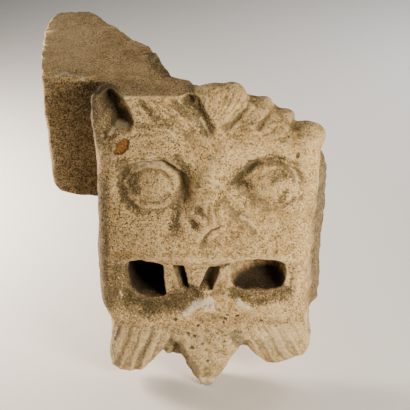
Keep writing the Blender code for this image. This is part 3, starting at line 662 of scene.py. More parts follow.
HAIR_MARKS = [
    (1.1, 2.8, [(-0.190, 0.040), (-0.155, 0.056)]),
    (0.6, 2.6, [(-0.155, 0.056), (-0.08, 0.088), (-0.02, 0.116)]),
    (0.8, 1.3, [(0.440, 0.040), (0.317, 0.064), (0.190, 0.118)]),
    (0.7, 1.3, [(0.560, 0.066), (0.410, 0.096), (0.270, 0.128)]),
    (0.4, 1.4, [(-0.380, 0.060), (-0.290, 0.104), (-0.210, 0.140)]),
    (0.4, 1.4, [(-0.470, 0.050), (-0.400, 0.096), (-0.330, 0.132)]),
    (-0.4, 1.8, [(-0.330, 0.060), (-0.250, 0.100), (-0.160, 0.140)]),
    (-0.4, 1.8, [(-0.430, 0.060), (-0.350, 0.100), (-0.270, 0.138)]),
    (-0.8, 1.6, [(-0.835, 0.137), (-0.778, 0.126), (-0.709, 0.123), (-0.673, 0.121)]),
    (0.6, 1.6, [(-0.820, 0.148), (-0.770, 0.139), (-0.680, 0.134)])]


def refine_hair(x, z):
    """Strands that run out from the hub of the hair, and the rim of the ear."""
    depth = furrows(x, z, HAIR_MARKS)
    px, pz = x - HAIR_HUB[0] * HALF, z + HAIR_HUB[1] * HEAD_HEIGHT
    far = np.hypot(px, pz) / HEAD_HEIGHT
    spread = np.arctan2(px, pz)
    on_locks = ease(0.035, 0.075, far)
    strands = np.cos(spread * 46 + 2.0 * np.sin(far * 40)) + 0.5 * np.cos(spread * 83 + 1.0)
    above = ease(-0.165, -0.135, z / HEAD_HEIGHT)
    depth += 0.26 * MM * strands * on_locks * above
    return depth


# %% [markdown]
# ## Beard
#
# Three tufts hang from the chin, with strands cut side by side. A texture could only paint them,
# but they catch the light and show at the tips, so they are ripples in the mesh. On the left tuft
# two ripples of unlike width are added up, because strands cut by hand are never even.

# %% Beard
STRAND_DEPTH = 0.09 * RELIEF


def ripple(x, count, start=0.0):
    """Even furrows that run down: so many of them on the width of the head."""
    return np.cos(x / HEAD_WIDTH * 2 * math.pi * count + start)


def side_tufts(x, z):
    """1 on the left tuft, 1 on the right tuft, and how far below the chin, in metres."""
    below = (-z / HEAD_HEIGHT - 0.80) * HEAD_HEIGHT
    return 1 - ease(-0.33, -0.27, x / HALF), ease(0.29, 0.35, x / HALF), below


def carve_beard(x, z):
    """Strands of the three tufts. Those of the outer ones spread as they go down."""
    on_left, on_right, below = side_tufts(x, z)
    left = 0.7 * ripple(x + 0.34 * below, 19, 0.4) + 0.5 * ripple(x + 0.34 * below, 12.3, 2.0)
    middle = ripple(x, 15, 0.6) * (1 - on_left) * (1 - on_right)
    right = ripple(x - 0.45 * below, 15)
    strands = left * on_left + 0.25 * middle + 0.60 * right * on_right
    return STRAND_DEPTH * strands * ease(0.735, 0.84, -z / HEAD_HEIGHT)


BEARD_PITS = [(-0.166, 0.854, 2.4), (-0.197, 0.801, 2.0), (-0.104, 0.768, 1.8), (0.142, 0.738, 2.2),
              (0.254, 0.723, 2.2), (0.132, 0.756, 1.7), (-0.146, 0.809, 1.7), (0.162, 0.719, 1.6),
              (-0.217, 0.708, 2.0), (-0.309, 0.734, 2.0), (-0.351, 0.663, 2.0), (-0.566, 0.730, 1.8),
              (-0.060, 0.840, 1.6), (0.080, 0.800, 1.6), (-0.020, 0.905, 1.8), (0.150, 0.830, 1.6),
              (0.470, 0.745, 1.6), (0.620, 0.770, 1.4)]   # across, down, half width in mm


def refine_beard(x, z):
    """Finer strands between the main ones, and pits."""
    on_left, on_right, below = side_tufts(x, z)
    left, right = ripple(x + 0.28 * below, 41, 0.8), ripple(x - 0.45 * below, 37)
    strands = (left * on_left + 0.8 * right * on_right) * ease(0.72, 0.80, -z / HEAD_HEIGHT)
    holes = [(1.8, across, down, width, width) for across, down, width in BEARD_PITS]
    return 0.26 * MM * strands + pads(x, z, holes)


# %% [markdown]
# ## A lump of iron
#
# A rusty lump sits in a shallow chip over the left eye. It grew in the stone and isn't a fitting,
# so the chip is cut into the same mesh, and the rust will be a colour of the same material.

# %% Chip over a lump of iron
IRON_CHIP = [(-0.812, 0.194), (-0.775, 0.172), (-0.720, 0.153), (-0.690, 0.157), (-0.697, 0.180),
             (-0.752, 0.192)]


def inside_outline(x, z, outline, soft):
    """1 inside a convex outline of share points and 0 outside, with a soft rim."""
    corners = [(a * HALF, -d * HEAD_HEIGHT) for a, d in outline]
    inner = np.full(x.shape, 1.0)
    for (x0, z0), (x1, z1) in zip(corners, corners[1:] + corners[:1]):
        away = ((x - x0) * (z1 - z0) - (z - z0) * (x1 - x0)) / math.hypot(x1 - x0, z1 - z0)
        inner = np.minimum(inner, ease(-soft, soft, away))
    return inner


# %% [markdown]
# ## All marks at once
#
# Every mark is a function of a place on the face, so all of them can be added up and applied in
# one move. Before that, the places drift by a millimetre or two with a smooth noise: a line that
# is straight in the table then wavers, as if it were cut by hand.

# %% Noise by size
def waves(points, size, seed=0.0):
    """Smooth noise between -1 and 1. size is the width of a bump in metres."""
    shifted = points / size + seed
    return np.array([noise.noise(p) for p in shifted.tolist()])


def drifted(points):
    """Places on the face, seen from the front. They drift by a millimetre or two, so that no
    line is as true as one drawn with a ruler."""
    flat = points * (1, 0, 1)
    x = points[:, 0] + 1.5 * MM * waves(flat, 0.012, 4.4) + 0.7 * MM * waves(flat, 0.004, 1.4)
    z = points[:, 2] + 1.5 * MM * waves(flat, 0.012, 7.9) + 0.7 * MM * waves(flat, 0.004, 5.6)
    return x, z


# %% Move the points
points = read_points(block)
x, z = drifted(points)
y = points[:, 1]
depth = sum(carve(x, z) for carve in (carve_eyes, carve_nose, carve_mouth, carve_hair, carve_beard))
fine = sum(refine(x, z) for refine in (refine_eyes, refine_nose, refine_mouth, refine_hair, refine_beard))
kept = 0.95 + 0.5 * waves(points * (1, 0, 1), 0.016, 9.3)    # worn more in some places than in others
depth += fine * np.clip(kept, 0.5, 1.3)
depth += 1.2 * MM * inside_outline(points[:, 0], points[:, 2], IRON_CHIP, 1.0 * MM)
near = 1 - ease(0.10 * HEAD_DEPTH, 0.46 * HEAD_DEPTH, y)     # the relief fades out towards the back
near = near * ease(-1.20, -1.05, x / HALF)
points[:, 1] = y + depth * near
write_points(block, points)
print("carved, deepest %.1f mm, proudest %.1f mm" % (depth.max() / MM, -depth.min() / MM))

# %% [markdown]
# ## A rounded edge
#
# Knocks and weather have rounded the upper front edge of the tail. A bevel modifier would need a
# clean edge, and this mesh has none. So the points near the edge are pulled in towards a line
# that runs along inside it, until they lie on a curve around that line. The radius wanders
# between 5 and 13 mm, because wear is never even.

# %% Worn edge of the tail
BEGINS, FULL = -0.655, -0.700                       # from the cheek outwards, in tail widths
points = read_points(block)
share = points[:, 0] / TAIL_WIDTH
wall_face = TAIL_FRONT + TAIL_LENGTH * (0.01 - 0.08 * (share + 0.985) / 0.375)      # as in tail_block
radius = MM * (9 + 4 * waves(points, 0.028, 6.1)) * ease(BEGINS, FULL, share) + 0.01 * MM
inwards, below_bed = points[:, 1] - wall_face, -BED_DROP - points[:, 2]
far = np.hypot(radius - inwards, radius - below_bed)
rounded = (inwards < radius) & (below_bed < radius) & (far > radius) & (inwards > -6 * MM) & (share < BEGINS)
pull = np.where(rounded, radius / far, 1)
points[:, 1] = wall_face + radius - (radius - inwards) * pull
points[:, 2] = -BED_DROP - radius + (radius - below_bed) * pull
write_points(block, points)
print("worn edge on", int(rounded.sum()), "points")

# %% [markdown]
# ## Weather and wear
#
# Old limestone is never smooth. Rain dissolves it unevenly, so the surface waves by a millimetre
# or so. Shells and soft grains fall out and leave pits. The parts that were hidden in the wall
# were only dressed roughly with a point. Each of these is a noise of its own size, and the
# points move along their normals, so that sides and back get it too. The two beds and the
# built-in end only go inwards, so that they still sit flat.

# %% Pits and waves
def pits(points, spacing, share, seed):
    """1 in the middle of a pit and 0 outside. share is how many of the cells hold one."""
    shifted = (points / spacing + seed).tolist()
    reach = np.empty(len(shifted))
    chance = np.empty(len(shifted))
    for i, p in enumerate(shifted):
        distances, places = noise.voronoi(p)
        reach[i] = distances[0]
        home = places[0]
        chance[i] = (math.sin(home[0] * 12.9898 + home[1] * 78.233 + home[2] * 37.719) * 43758.5453) % 1.0
    size = 0.13 + 0.20 * chance / share
    inside = np.clip(1 - (reach / size) ** 2, 0, 1)
    return np.where(chance < share, inside, 0)


points = read_points(block)
normals = read_normals(block)
broad = waves(points, 0.034, 3.7)
middle = waves(points, 0.013, 11.3)
small = waves(points, 0.0055, 5.1)
print("noise on", len(points), "points")

# %% Pits, point marks and the rough break
def broken_side(x, y, z):
    """Where the right side of the block has broken away behind the cheek."""
    return ease(0.90, 0.97, x / HALF) * ease(0.004, 0.014, y) * ease(0.20, 0.24, -z / HEAD_HEIGHT)


def on_tufts(x, z):
    """How far a point is on the beard. The middle tuft counts most."""
    return ease(0.70, 0.80, -z / HEAD_HEIGHT) * (1 - 0.6 * ease(0.30, 0.45, np.abs(x / HALF)))


MARK_SPACING = 9 * MM                               # of the point that dressed the hidden faces
x, y, z = points.T
on_tail = np.clip(ease(-0.93, -1.02, x / HALF) + ease(0.046, 0.060, y), 0, 1)
carved = 1 - ease(FINE_DEPTH - 4 * MM, FINE_DEPTH, y)        # behind this the mesh is thinned out
crooked = points + 0.8 * MM * np.stack([small, middle, -small], 1)
hollows = pits(crooked, 0.0050, 0.40, 2.3) * (0.6 + 0.6 * ease(-0.1, 0.4, middle)) * carved
large = pits(crooked, 0.0120, 0.10, 8.9) * carved
wear = 0.45 * broad + 0.58 * middle + 0.44 * small - 0.9 * hollows - 1.2 * large
wear = wear + on_tufts(x, z) * (0.8 * middle + 0.5 * small - 0.8 * hollows)
wear = wear + broken_side(x, y, z) * (1.1 * middle + 0.7 * small)
slant = (0.8 * x + 0.6 * z) / MARK_SPACING
point_marks = np.abs(np.sin(math.pi * (slant + 0.8 * broad))) ** 0.6 - 0.6
behind = ease(0.075, 0.090, y) * (1 - ease(0.6, 0.9, np.abs(normals[:, 2])))
wear = wear + 0.9 * point_marks * behind + 0.9 * middle * on_tail
print("pits cover %.0f%% of the points" % (100 * np.mean(hollows > 0.1)))

# %% Keep the beds flat
def lies_flat(facing, distance):
    """1 where a point faces the way of a bed and lies close to it."""
    return ease(0.85, 0.97, facing) * (np.abs(distance) < 2.2 * MM)


flat_top = lies_flat(normals[:, 2], z + BED_DROP) * (x < -0.09 * TAIL_WIDTH)
flat_under = lies_flat(-normals[:, 2], z - LOW_BED)
flat_end = lies_flat(normals[:, 1], y - END)
flat = np.clip(flat_top + flat_under + flat_end, 0, 1)
held = wear * (1 - flat) + flat * (0.7 * np.minimum(wear, 0) - 0.1)      # on a bed only inwards
points = points + normals * (held * MM)[:, None]
write_points(block, points)
print("beds: %.0f%% of the points" % (100 * flat.mean()))

# %% [markdown]
# ## A lighter back
#
# Nobody needs millimetre cells on the back. The decimate modifier takes triangles away where a
# vertex group allows it: fully on the tail and the back, hardly at all on the mask.

# %% Thin out what lies behind
def thin_out(item, most):
    """Bring the mesh down to a number of triangles, behind the mask first."""
    shell = bmesh.new()
    shell.from_mesh(item.data)
    bmesh.ops.triangulate(shell, faces=shell.faces)
    count = len(shell.faces)
    shell.to_mesh(item.data)
    shell.free()
    if count <= most:
        return count
    depth_in = read_points(item)[:, 1]
    group = item.vertex_groups.new(name="behind")
    weights = np.round(ease(FINE_DEPTH - 2 * MM, FINE_DEPTH + 2 * MM, depth_in))
    for weight in np.unique(weights):
        group.add(np.nonzero(weights == weight)[0].tolist(), float(weight), "REPLACE")
    modifier = item.modifiers.new("thin", "DECIMATE")
    modifier.ratio = most / count
    modifier.use_collapse_triangulate = True
    modifier.vertex_group = "behind"
    modifier.vertex_group_factor = 1.0
    apply_modifiers(item)
    item.vertex_groups.clear()
    return count


before = thin_out(block, MOST_TRIANGLES)
print("triangles", before, "->", len(block.data.polygons))

# %% [markdown]
# ## Where dirt and lime sit
#
# Dirt gathers in hollows and rubs off what stands proud. To find both, the surface is compared
# with a smoothed copy of itself: where the copy lies outside, there is a hollow. A few passes
# find pits and creases, many passes find the large hollows. The results are stored on the
# points as attributes, which the material reads.
#
# Some marks have a place of their own: lime on the chin, scratches on the brow, painted shade on
# the broken edge and a lump of rusting iron. They are drawn as lines, spots and areas, with
# ragged edges. No lamp reaches far into the mouth and under the lip, and old dirt there is nearly
# black, so a last value darkens those places, as painted shade over the dirt. The same value
# paints the shadow of the head on the front strip of the tail and shade on the left of the face.
# The soil value carries painted shade too, and the scratch value painted light on the tufts.

# %% Compare with a smoothed copy
def smoothed(points, edges, passes):
    """Move each point to the middle of its neighbours, several times."""
    count = len(points)
    first, second = edges[:, 0], edges[:, 1]
    share = np.bincount(first, minlength=count) + np.bincount(second, minlength=count)
    result = points.copy()
    for _ in range(passes):
        middle = np.empty_like(result)
        for axis in range(3):
            column = result[:, axis]
            total = np.bincount(first, column[second], count) + np.bincount(second, column[first], count)
            middle[:, axis] = total / share
        result = middle
    return result


def store(item, name, values):
    """Keep one number for each point."""
    layer = item.data.attributes.new(name, "FLOAT", "POINT")
    layer.data.foreach_set("value", values.astype(np.float32))


points = read_points(block)
normals = read_normals(block)
edges = np.empty(len(block.data.edges) * 2, np.int32)
block.data.edges.foreach_get("vertices", edges)
edges = edges.reshape(-1, 2)
close = smoothed(points, edges, 5)
wide = smoothed(close, edges, 45)
carved = 1 - ease(FINE_DEPTH - 5 * MM, FINE_DEPTH, points[:, 1])    # coarse triangles fool the comparison
crease = carved * np.einsum("ij,ij->i", close - points, normals) / (0.25 * MM)
hollow = np.einsum("ij,ij->i", wide - close, normals) / (1.2 * MM)
store(block, "crease", np.clip(crease, -1, 1))
store(block, "hollow", np.clip(hollow, -1, 1) * carved)
print("crease %.2f, hollow %.2f on average" % (np.abs(crease).mean(), np.abs(hollow).mean()))

# %% Lines of lime, scratches, and soil and shade
ragged = waves(points, 0.0032, 2.2)
x, z = drifted(points)
x, y, z = x + 0.8 * MM * ragged, points[:, 1], z - 0.8 * MM * ragged
across, down = x / HALF, -z / HEAD_HEIGHT
front = 1 - ease(0.020, 0.045, y)
LIME = [
    (3.4, [(-0.210, 0.712), (-0.150, 0.694), (-0.085, 0.680), (0.01, 0.668)]),
    (2.0, [(-0.04, 0.700), (0.03, 0.690)]), (2.4, [(0.265, 0.670), (0.300, 0.684), (0.350, 0.690)]),
    (0.8, [(-0.859, 0.788), (-0.890, 0.830)]), (1.0, [(0.884, 0.734), (0.920, 0.800)]),
    (3.2, [(-0.07, 0.985), (0.04, 0.99)]), (1.0, [(-0.82, 0.640), (-0.80, 0.660)])]
SCRATCHES = [
    (1.6, [(-0.835, 0.137), (-0.778, 0.126), (-0.690, 0.121)]), (1.0, [(0.330, 0.056), (0.172, 0.103)]),
    (1.0, [(-0.080, 0.098), (-0.030, 0.124), (-0.005, 0.147)]), (0.9, [(-0.208, 0.106), (-0.180, 0.126)]),
    (1.0, [(-0.335, 0.131), (-0.285, 0.154)]), (1.2, [(0.690, 0.244), (0.738, 0.265), (0.756, 0.300)]),
    (1.1, [(-0.155, 0.304), (-0.024, 0.280)]), (1.1, [(-0.055, 0.248), (0.060, 0.262), (0.090, 0.276)]),
    (1.0, [(-0.677, 0.229), (-0.601, 0.221), (-0.526, 0.224), (-0.433, 0.234), (-0.358, 0.253)]),
    (1.4, [(-0.526, 0.202), (-0.376, 0.208), (-0.273, 0.235)]), (1.8, [(0.93, 0.60), (0.94, 0.66)]),
    (1.5, [(0.270, 0.386), (0.300, 0.398)]), (1.6, [(0.35, 0.396), (0.41, 0.412)]),
    (1.4, [(0.930, 0.250), (0.955, 0.330), (0.930, 0.420)]), (1.6, [(-0.60, 0.236), (-0.40, 0.240)])]
# Lines of soil; the band under the left hole is painted shade as well.
GRIME_AND_SHADE = [
    (4.6, [(-0.74, 0.222), (-0.73, 0.256)]), (4.6, [(-0.67, 0.276), (-0.64, 0.305)]),
    (3.2, [(-0.76, 0.30), (-0.73, 0.345), (-0.62, 0.372)]), (5.0, [(0.28, 0.292), (0.36, 0.300)]),
    (6.0, [(0.20, 0.285), (0.27, 0.262), (0.36, 0.240)]),
    (5.0, [(0.30, 0.250), (0.44, 0.215), (0.60, 0.208)]),
    (8.0, [(-0.16, 0.056), (-0.10, 0.085), (-0.05, 0.110)]), (2.0, [(-0.24, 0.060), (-0.17, 0.090)]),
    (1.8, [(-0.56, 0.062), (-0.50, 0.085)]), (4.4, [(-0.14, 0.392), (-0.12, 0.408)]),
    (2.4, [(-0.10, 0.350), (-0.04, 0.372)]), (4.0, [(-0.31, 0.420), (-0.28, 0.370)]),
    (3.4, [(-0.22, 0.265), (-0.20, 0.235), (-0.27, 0.200)]), (3.0, [(-0.40, 0.330), (-0.36, 0.325)]),
    (1.5, [(-0.048, 0.466), (-0.035, 0.441), (0.017, 0.424), (0.092, 0.414)]),
    (4.0, [(0.66, 0.318), (0.62, 0.340)]), (5.0, [(0.56, 0.272), (0.64, 0.268)]),
    (11.0, [(-0.78, 0.655), (-0.58, 0.690), (-0.36, 0.685), (-0.14, 0.655)]),
    (6.0, [(-0.80, 0.560), (-0.78, 0.620)]), (7.0, [(0.24, 0.650), (0.46, 0.665), (0.70, 0.645)]),
    (4.0, [(0.10, 0.552), (0.16, 0.540)]), (6.0, [(-0.40, 0.88), (-0.33, 0.92)]),
    (5.0, [(-0.93, 0.84), (-0.92, 0.94)]), (5.0, [(-0.30, 0.86), (-0.14, 0.955)]),
    (4.0, [(0.30, 0.86), (0.24, 0.80)]), (6.0, [(-0.96, 0.30), (-0.97, 0.60), (-0.95, 0.70)])]


def lines(marks):
    """Sum of strokes on the front. A mark is (size, path), and size 1 is 1.7 mm to each side."""
    return sum(stroke(x, z, path, 1.7 * size * MM) for size, path in marks) * front


lime, scratch, grime = lines(LIME), lines(SCRATCHES), lines(GRIME_AND_SHADE)
print("lines:", len(LIME), "of lime,", len(SCRATCHES), "scratches,", len(GRIME_AND_SHADE), "of soil")

# %% Spots
RIDGE = [(-128, 50, -9), (-122, 57, -9), (-115, 50, -9), (-107, 43, -9), (-99, 29, -10)]
BREAK_SHADE = [(-53, 99, -12), (-49, 84, -12), (-45, 69, -12), (-40, 57, -12), (-36, 50, -12)]


def spots(places, reach, level):
    """Sum of round spots at places in mm. They are full in the middle and fade out near reach."""
    far = [np.linalg.norm(points - np.array(place) * MM, axis=1) for place in places]
    return sum(np.clip(level - (distance / reach) ** 2, 0, 1) for distance in far)


lime += spots(RIDGE, 5.5 * MM, 1.0)                 # bright chips along the worn edge of the tail
grime += spots(BREAK_SHADE, 9 * MM, 1.3)                  # painted shade on the back-facing facet of the broken edge
pitted = front * pads(x, z, [(1, a, d, 1.3 * width, 1.3 * width) for a, d, width in BEARD_PITS], deep=1)
iron = inside_outline(x, z, IRON_CHIP, 1.7 * MM) * front
iron += 0.7 * pad(x, z, 0.750, 0.199, 3.6 * MM, 3.6 * MM) * front
print("iron on %.1f%% of the points" % (100 * np.mean(iron > 0.5)))

# %% Areas that are darker or paler than the rest
flank = broken_side(x, y, z)
ear = (1 - ease(-0.92, -0.70, across)) * (1 - ease(0.12, 0.20, down)) * front
left_of_face = (1 - ease(-1.0, 0.35, across)) * front
right_of_mouth = pad(x, z, 0.60, 0.60, 60 * MM, 60 * MM) * front
under_tail = ease(0.022, 0.040, y) * (1 - ease(-0.99, -0.90, across)) * ease(-0.9, -0.5, -normals[:, 2])
strands = carve_beard(x, z) / STRAND_DEPTH          # above 0 in the furrows, below 0 on the strands
# The soil value also carries painted shade, over dirt: on the left of the face, on the sides of the tail
# beside the head and in the furrows of the beard.
grime += 1.2 * pitted + 1.3 * ear + 0.60 * flank + 0.55 * under_tail + 0.44 * left_of_face
grime += 0.30 * on_tufts(x, z) + 0.22 * right_of_mouth + 0.40 * np.clip(strands, 0, 1) * front
lime += 0.24 * flank
# Painted light: the tufts are paler where the lamp falls on them, the ridges of the strands paler than their
# furrows, and so are the right tuft, the right tooth and the top of the tail.
scratch += (0.45 * ease(0.74, 0.80, down) + 0.35 * np.clip(-strands, 0, 1)) * front
right_tuft = pad(x, z, 0.68, 0.80, 36 * MM, 34 * MM) * front
right_tooth = pad(x, z, 0.12, 0.585, 10 * MM, 15 * MM) * front
lit_tail_top = ease(-0.085, -0.125, x) * (z > -BED_DROP - 3 * MM) * ease(0.060, 0.080, y)   # painted light on the top of the tail
scratch += 0.5 * (right_tuft + right_tooth + lit_tail_top)
print("soil on %.0f%% of the points" % (100 * np.mean(grime > 0.5)))
print("lime on %.1f%% of the points" % (100 * np.mean(lime > 0.3)))

# %% Painted shade and dirt in the mouth
# Painted shade in the holes and the gaps between the teeth, where no lamp reaches. The left hole is dark with
# old dirt as well.
in_mouth = ease(0.505, 0.525, down) * (1 - ease(0.68, 0.70, down))
in_mouth = in_mouth * (np.abs(across) < 0.82) * (1 - ease(0.046, 0.052, y))
left_hole = ease(-9 * MM, 12 * MM, y)
low_part = ease(0.586, 0.622, down + 0.02 * (across - 0.45))     # painted shade: the lower part of the bowl is darker
bowl = 0.08 * ease(-15 * MM, -12 * MM, y) + 0.86 * low_part * ease(-14 * MM, -9 * MM, y)
bowl = bowl * inside_outline(points[:, 0], points[:, 2], RIGHT_RIM, 0.5 * MM)
at_right = ease(0.14, 0.20, across)
gaps = 0.75 * (across > -0.34) * (across < -0.15) + 0.50 * (across > -0.12) * (across < 0.11)
gaps = gaps * ease(-14.5 * MM, -4 * MM, y) * (1 - ease(0.630, 0.648, down))
mouth = in_mouth * np.maximum(left_hole * (1 - at_right) + bowl * at_right, gaps)
print("dark in the mouth: %.1f%% of the points" % (100 * np.mean(mouth > 0.5)))

# %% Painted shade and dirt in other places
# Painted shade under the left lip and in the hollow of the ear, over dirt. The tip of the ear is made darker
# too.
under_lip = stroke(x, z, [(-0.74, 0.662), (-0.56, 0.690), (-0.36, 0.682), (-0.18, 0.655)], 10 * MM) * front
ear_hollow = stroke(x, z, [(-0.82, 0.050), (-0.79, 0.075), (-0.760, 0.100)], 9 * MM) * front
ear_tip = ear * (1 - ease(0.08, 0.13, down))
# The front strip of the tail is darkened all over, as dirt and painted shade, and more beside the head, as a
# painted shadow of the head.
strip = ease(0.030, 0.040, y) * (1 - ease(0.050, 0.060, y)) * (x < -0.99 * HALF)
strip = strip * ease(BED_DROP + 1 * MM, BED_DROP + 5 * MM, -z)
head_shadow = ease(-0.126, -0.116, x) * ease(0, 0.012, -z - BED_DROP + 0.55 * (x + HALF))
# Thinner films of dirt lie on the left of the face, on the snout and on the hair at the right. On the left of
# the face and its eye they are painted shade as well, darker away from the lamp.
film_and_shade = (1 - ease(-0.55, 0.10, across)) * (1 - ease(0.60, 0.70, down))
film_and_shade = film_and_shade * (0.21 + 0.10 * pad(x, z, -0.50, 0.300, 34 * MM, 30 * MM))
film_and_shade = np.maximum(film_and_shade, 0.22 * pad(x, z, -0.05, 0.345, 24 * MM, 20 * MM))
film_and_shade = np.maximum(film_and_shade, 0.26 * stroke(x, z, [(0.25, 0.100), (0.45, 0.090), (0.75, 0.130)], 14 * MM))
# The dark value: painted shade in the mouth, under the lip, in the hollow of the ear and on the tail's strip,
# over dirt; the ear's tip, the broken side and the beard's pits are darker too.
cavity = np.maximum.reduce([
    mouth, 0.36 * under_lip, 0.40 * ear_hollow, 0.52 * ear_tip, strip * (0.30 + 0.16 * head_shadow),
    film_and_shade * front, 0.53 * flank, 0.70 * pitted])
cavity = cavity * (1 - np.clip(lime, 0, 1))         # lime lies over the dirt and the painted shade
print("cavity %.2f on average" % np.clip(cavity, 0, 1).mean())

# %% Store the values for the material
NONE = -2                                           # no noise in the material can bring this up
for name, values in (("lime", lime), ("scratch", scratch)):
    store(block, name, np.where(values > 0.05, np.clip(values, 0, 1), NONE))
for name, values in (("grime", grime), ("iron", iron), ("cavity", cavity)):
    store(block, name, np.clip(values, 0, 1))
print("stored", len(block.data.attributes), "attributes")

# %% [markdown]
# ## Limestone
#
# The stone is a shelly, grainy limestone that has weathered to a warm buff. It was dressed with
# chisels and then lay in wind and rain, so it is quite matt: light scatters in a rough skin of
# grains, some bright and some dark. Grains are 0.5 to 1 mm wide, pores 1 to 3 mm, patches 9 mm,
# and the cloudy change of tone is about 40 mm wide. Dirt in the hollows is a greyish brown.
#
# A pixel of the picture covers about 0.9 mm of the stone. The grains, the specks of dirt and the
# skin would vanish in it, so they are drawn 1.3 to 1.6 mm wide.

# %% Colours and nodes
def paint(hex_colour):
    """sRGB hex to linear colour with full opacity."""
    parts = [int(hex_colour[i:i + 2], 16) / 255 for i in (0, 2, 4)]
    return tuple(p / 12.92 if p <= 0.04045 else ((p + 0.055) / 1.055) ** 2.4 for p in parts) + (1.0,)


def add(tree, kind, settings=(), links=()):
    """Add a node. settings are (attribute or socket, value) and links (socket, node, output)."""
    node = tree.nodes.new(kind)
    for key, value in settings:
        if key == "ramp":
            stops = node.color_ramp.elements
            while len(stops) < len(value):
                stops.new(0.5)
            for stop, (place, colour) in zip(stops, value):
                stop.position = place
                stop.color = paint(colour) if isinstance(colour, str) else (colour,) * 3 + (1.0,)
        elif isinstance(key, str) and hasattr(node, key):
            setattr(node, key, value)
        else:
            node.inputs[key].default_value = value
    for socket, source, output in links:
        tree.links.new(source.outputs[output], node.inputs[socket])
    return node


# %% Tone of the stone
limestone = bpy.data.materials.new("weathered_limestone")
limestone.use_nodes = True
tree = limestone.node_tree
tree.nodes.clear()
FACTOR, FIRST, SECOND, MIXED = 0, 6, 7, 2           # sockets of a colour mix node

place = add(tree, "ShaderNodeTexCoord")
clouds = add(tree, "ShaderNodeTexNoise", [("Scale", 1 / (40 * MM)), ("Detail", 4.0), ("Roughness", 0.6)],
             [("Vector", place, "Object")])
tone = add(tree, "ShaderNodeValToRGB", [("ramp", [(0.34, "A28553"), (0.52, "BF9F6A"), (0.68, "D2B27D")])],
           [("Fac", clouds, "Fac")])
patches = add(tree, "ShaderNodeTexNoise", [("Scale", 1 / (9 * MM)), ("Detail", 5.0), ("Roughness", 0.70)],
              [("Vector", place, "Object")])
patch_mask = add(tree, "ShaderNodeValToRGB", [("ramp", [(0.45, 0.0), (0.62, 0.7)])],
                 [("Fac", patches, "Fac")])
patchy = add(tree, "ShaderNodeMix", [("data_type", "RGBA"), (SECOND, paint("D8BA86"))],
             [(FACTOR, patch_mask, "Color"), (FIRST, tone, "Color")])
print("tone of the stone from", len(tree.nodes), "nodes")

# %% Grains and pores
# Real grains are about 0.8 mm wide. They are drawn 1.6 mm wide, so that they show.
grains = add(tree, "ShaderNodeTexNoise", [("Scale", 1 / (1.6 * MM)), ("Detail", 2.5), ("Roughness", 0.75)],
             [("Vector", place, "Object")])
grain_tone = add(tree, "ShaderNodeValToRGB",
                 [("ramp", [(0.38, "8C8C8C"), (0.46, 0.78), (0.54, 1.10), (0.62, 1.44)])],
                 [("Fac", grains, "Fac")])
grainy = add(tree, "ShaderNodeMix", [("data_type", "RGBA"), ("blend_type", "MULTIPLY"), (FACTOR, 0.9)],
             [(FIRST, patchy, MIXED), (SECOND, grain_tone, "Color")])
pore_cells = add(tree, "ShaderNodeTexVoronoi", [("Scale", 1 / (2.6 * MM)), ("Randomness", 1.0)],
                 [("Vector", place, "Object")])
pore_shape = add(tree, "ShaderNodeValToRGB", [("ramp", [(0.18, 1.0), (0.30, 0.0)])],
                 [("Fac", pore_cells, "Distance")])
pore_noise = add(tree, "ShaderNodeTexNoise", [("Scale", 1 / (14 * MM)), ("Detail", 3.0), ("Roughness", 0.7)],
                 [("Vector", place, "Object")])
# Pores gather where the soil and painted shade value is high.
grime_and_shade_value = add(tree, "ShaderNodeAttribute", [("attribute_name", "grime")])
pore_count = add(tree, "ShaderNodeMath", [("operation", "MULTIPLY_ADD"), (1, 0.30)],
                 [(0, grime_and_shade_value, "Fac"), (2, pore_noise, "Fac")])
pore_choice = add(tree, "ShaderNodeValToRGB", [("ramp", [(0.44, 0.15), (0.60, 1.0)])],
                  [("Fac", pore_count, "Value")])
pore_mask = add(tree, "ShaderNodeMath", [("operation", "MULTIPLY")],
                [(0, pore_shape, "Color"), (1, pore_choice, "Color")])
pored = add(tree, "ShaderNodeMix", [("data_type", "RGBA"), (SECOND, paint("3E3322"))],
            [(FACTOR, pore_mask, "Value"), (FIRST, grainy, MIXED)])
print("grains and pores, now", len(tree.nodes), "nodes")


# %% Layers that follow the points
def layer(below, name, colour, low, high, most, pattern, share):
    """Mix a colour over the node below where a point value is high. The pattern breaks up its edge."""
    value = add(tree, "ShaderNodeAttribute", [("attribute_name", name)])
    centred = add(tree, "ShaderNodeMath", [("operation", "MULTIPLY_ADD"), (1, share), (2, -0.5 * share)],
                  [(0, pattern, "Fac")])
    total = add(tree, "ShaderNodeMath", [("operation", "ADD")], [(0, value, "Fac"), (1, centred, "Value")])
    mask = add(tree, "ShaderNodeMapRange", [("From Min", low), ("From Max", high), ("To Max", most)],
               [("Value", total, "Value")])
    return add(tree, "ShaderNodeMix", [("data_type", "RGBA"), (SECOND, paint(colour))],
               [(FACTOR, mask, "Result"), (FIRST, below, MIXED)])


crumbs = add(tree, "ShaderNodeTexNoise", [("Scale", 1 / (3.5 * MM)), ("Detail", 5.0), ("Roughness", 0.8)],
             [("Vector", place, "Object")])
# Specks of dirt are often under 1 mm. They are drawn 1.5 mm wide, so that they show.
specks = add(tree, "ShaderNodeTexNoise", [("Scale", 1 / (1.5 * MM)), ("Detail", 2.0), ("Roughness", 0.7)],
             [("Vector", place, "Object")])
creased = layer(pored, "crease", "5A4E38", 0.20, 1.1, 0.66, specks, 1.6)
rubbed = layer(creased, "crease", "E2CA9C", -0.30, -1.2, 0.45, crumbs, 0.8)
hollowed = layer(rubbed, "hollow", "74674A", 0.10, 1.0, 0.52, specks, 1.8)
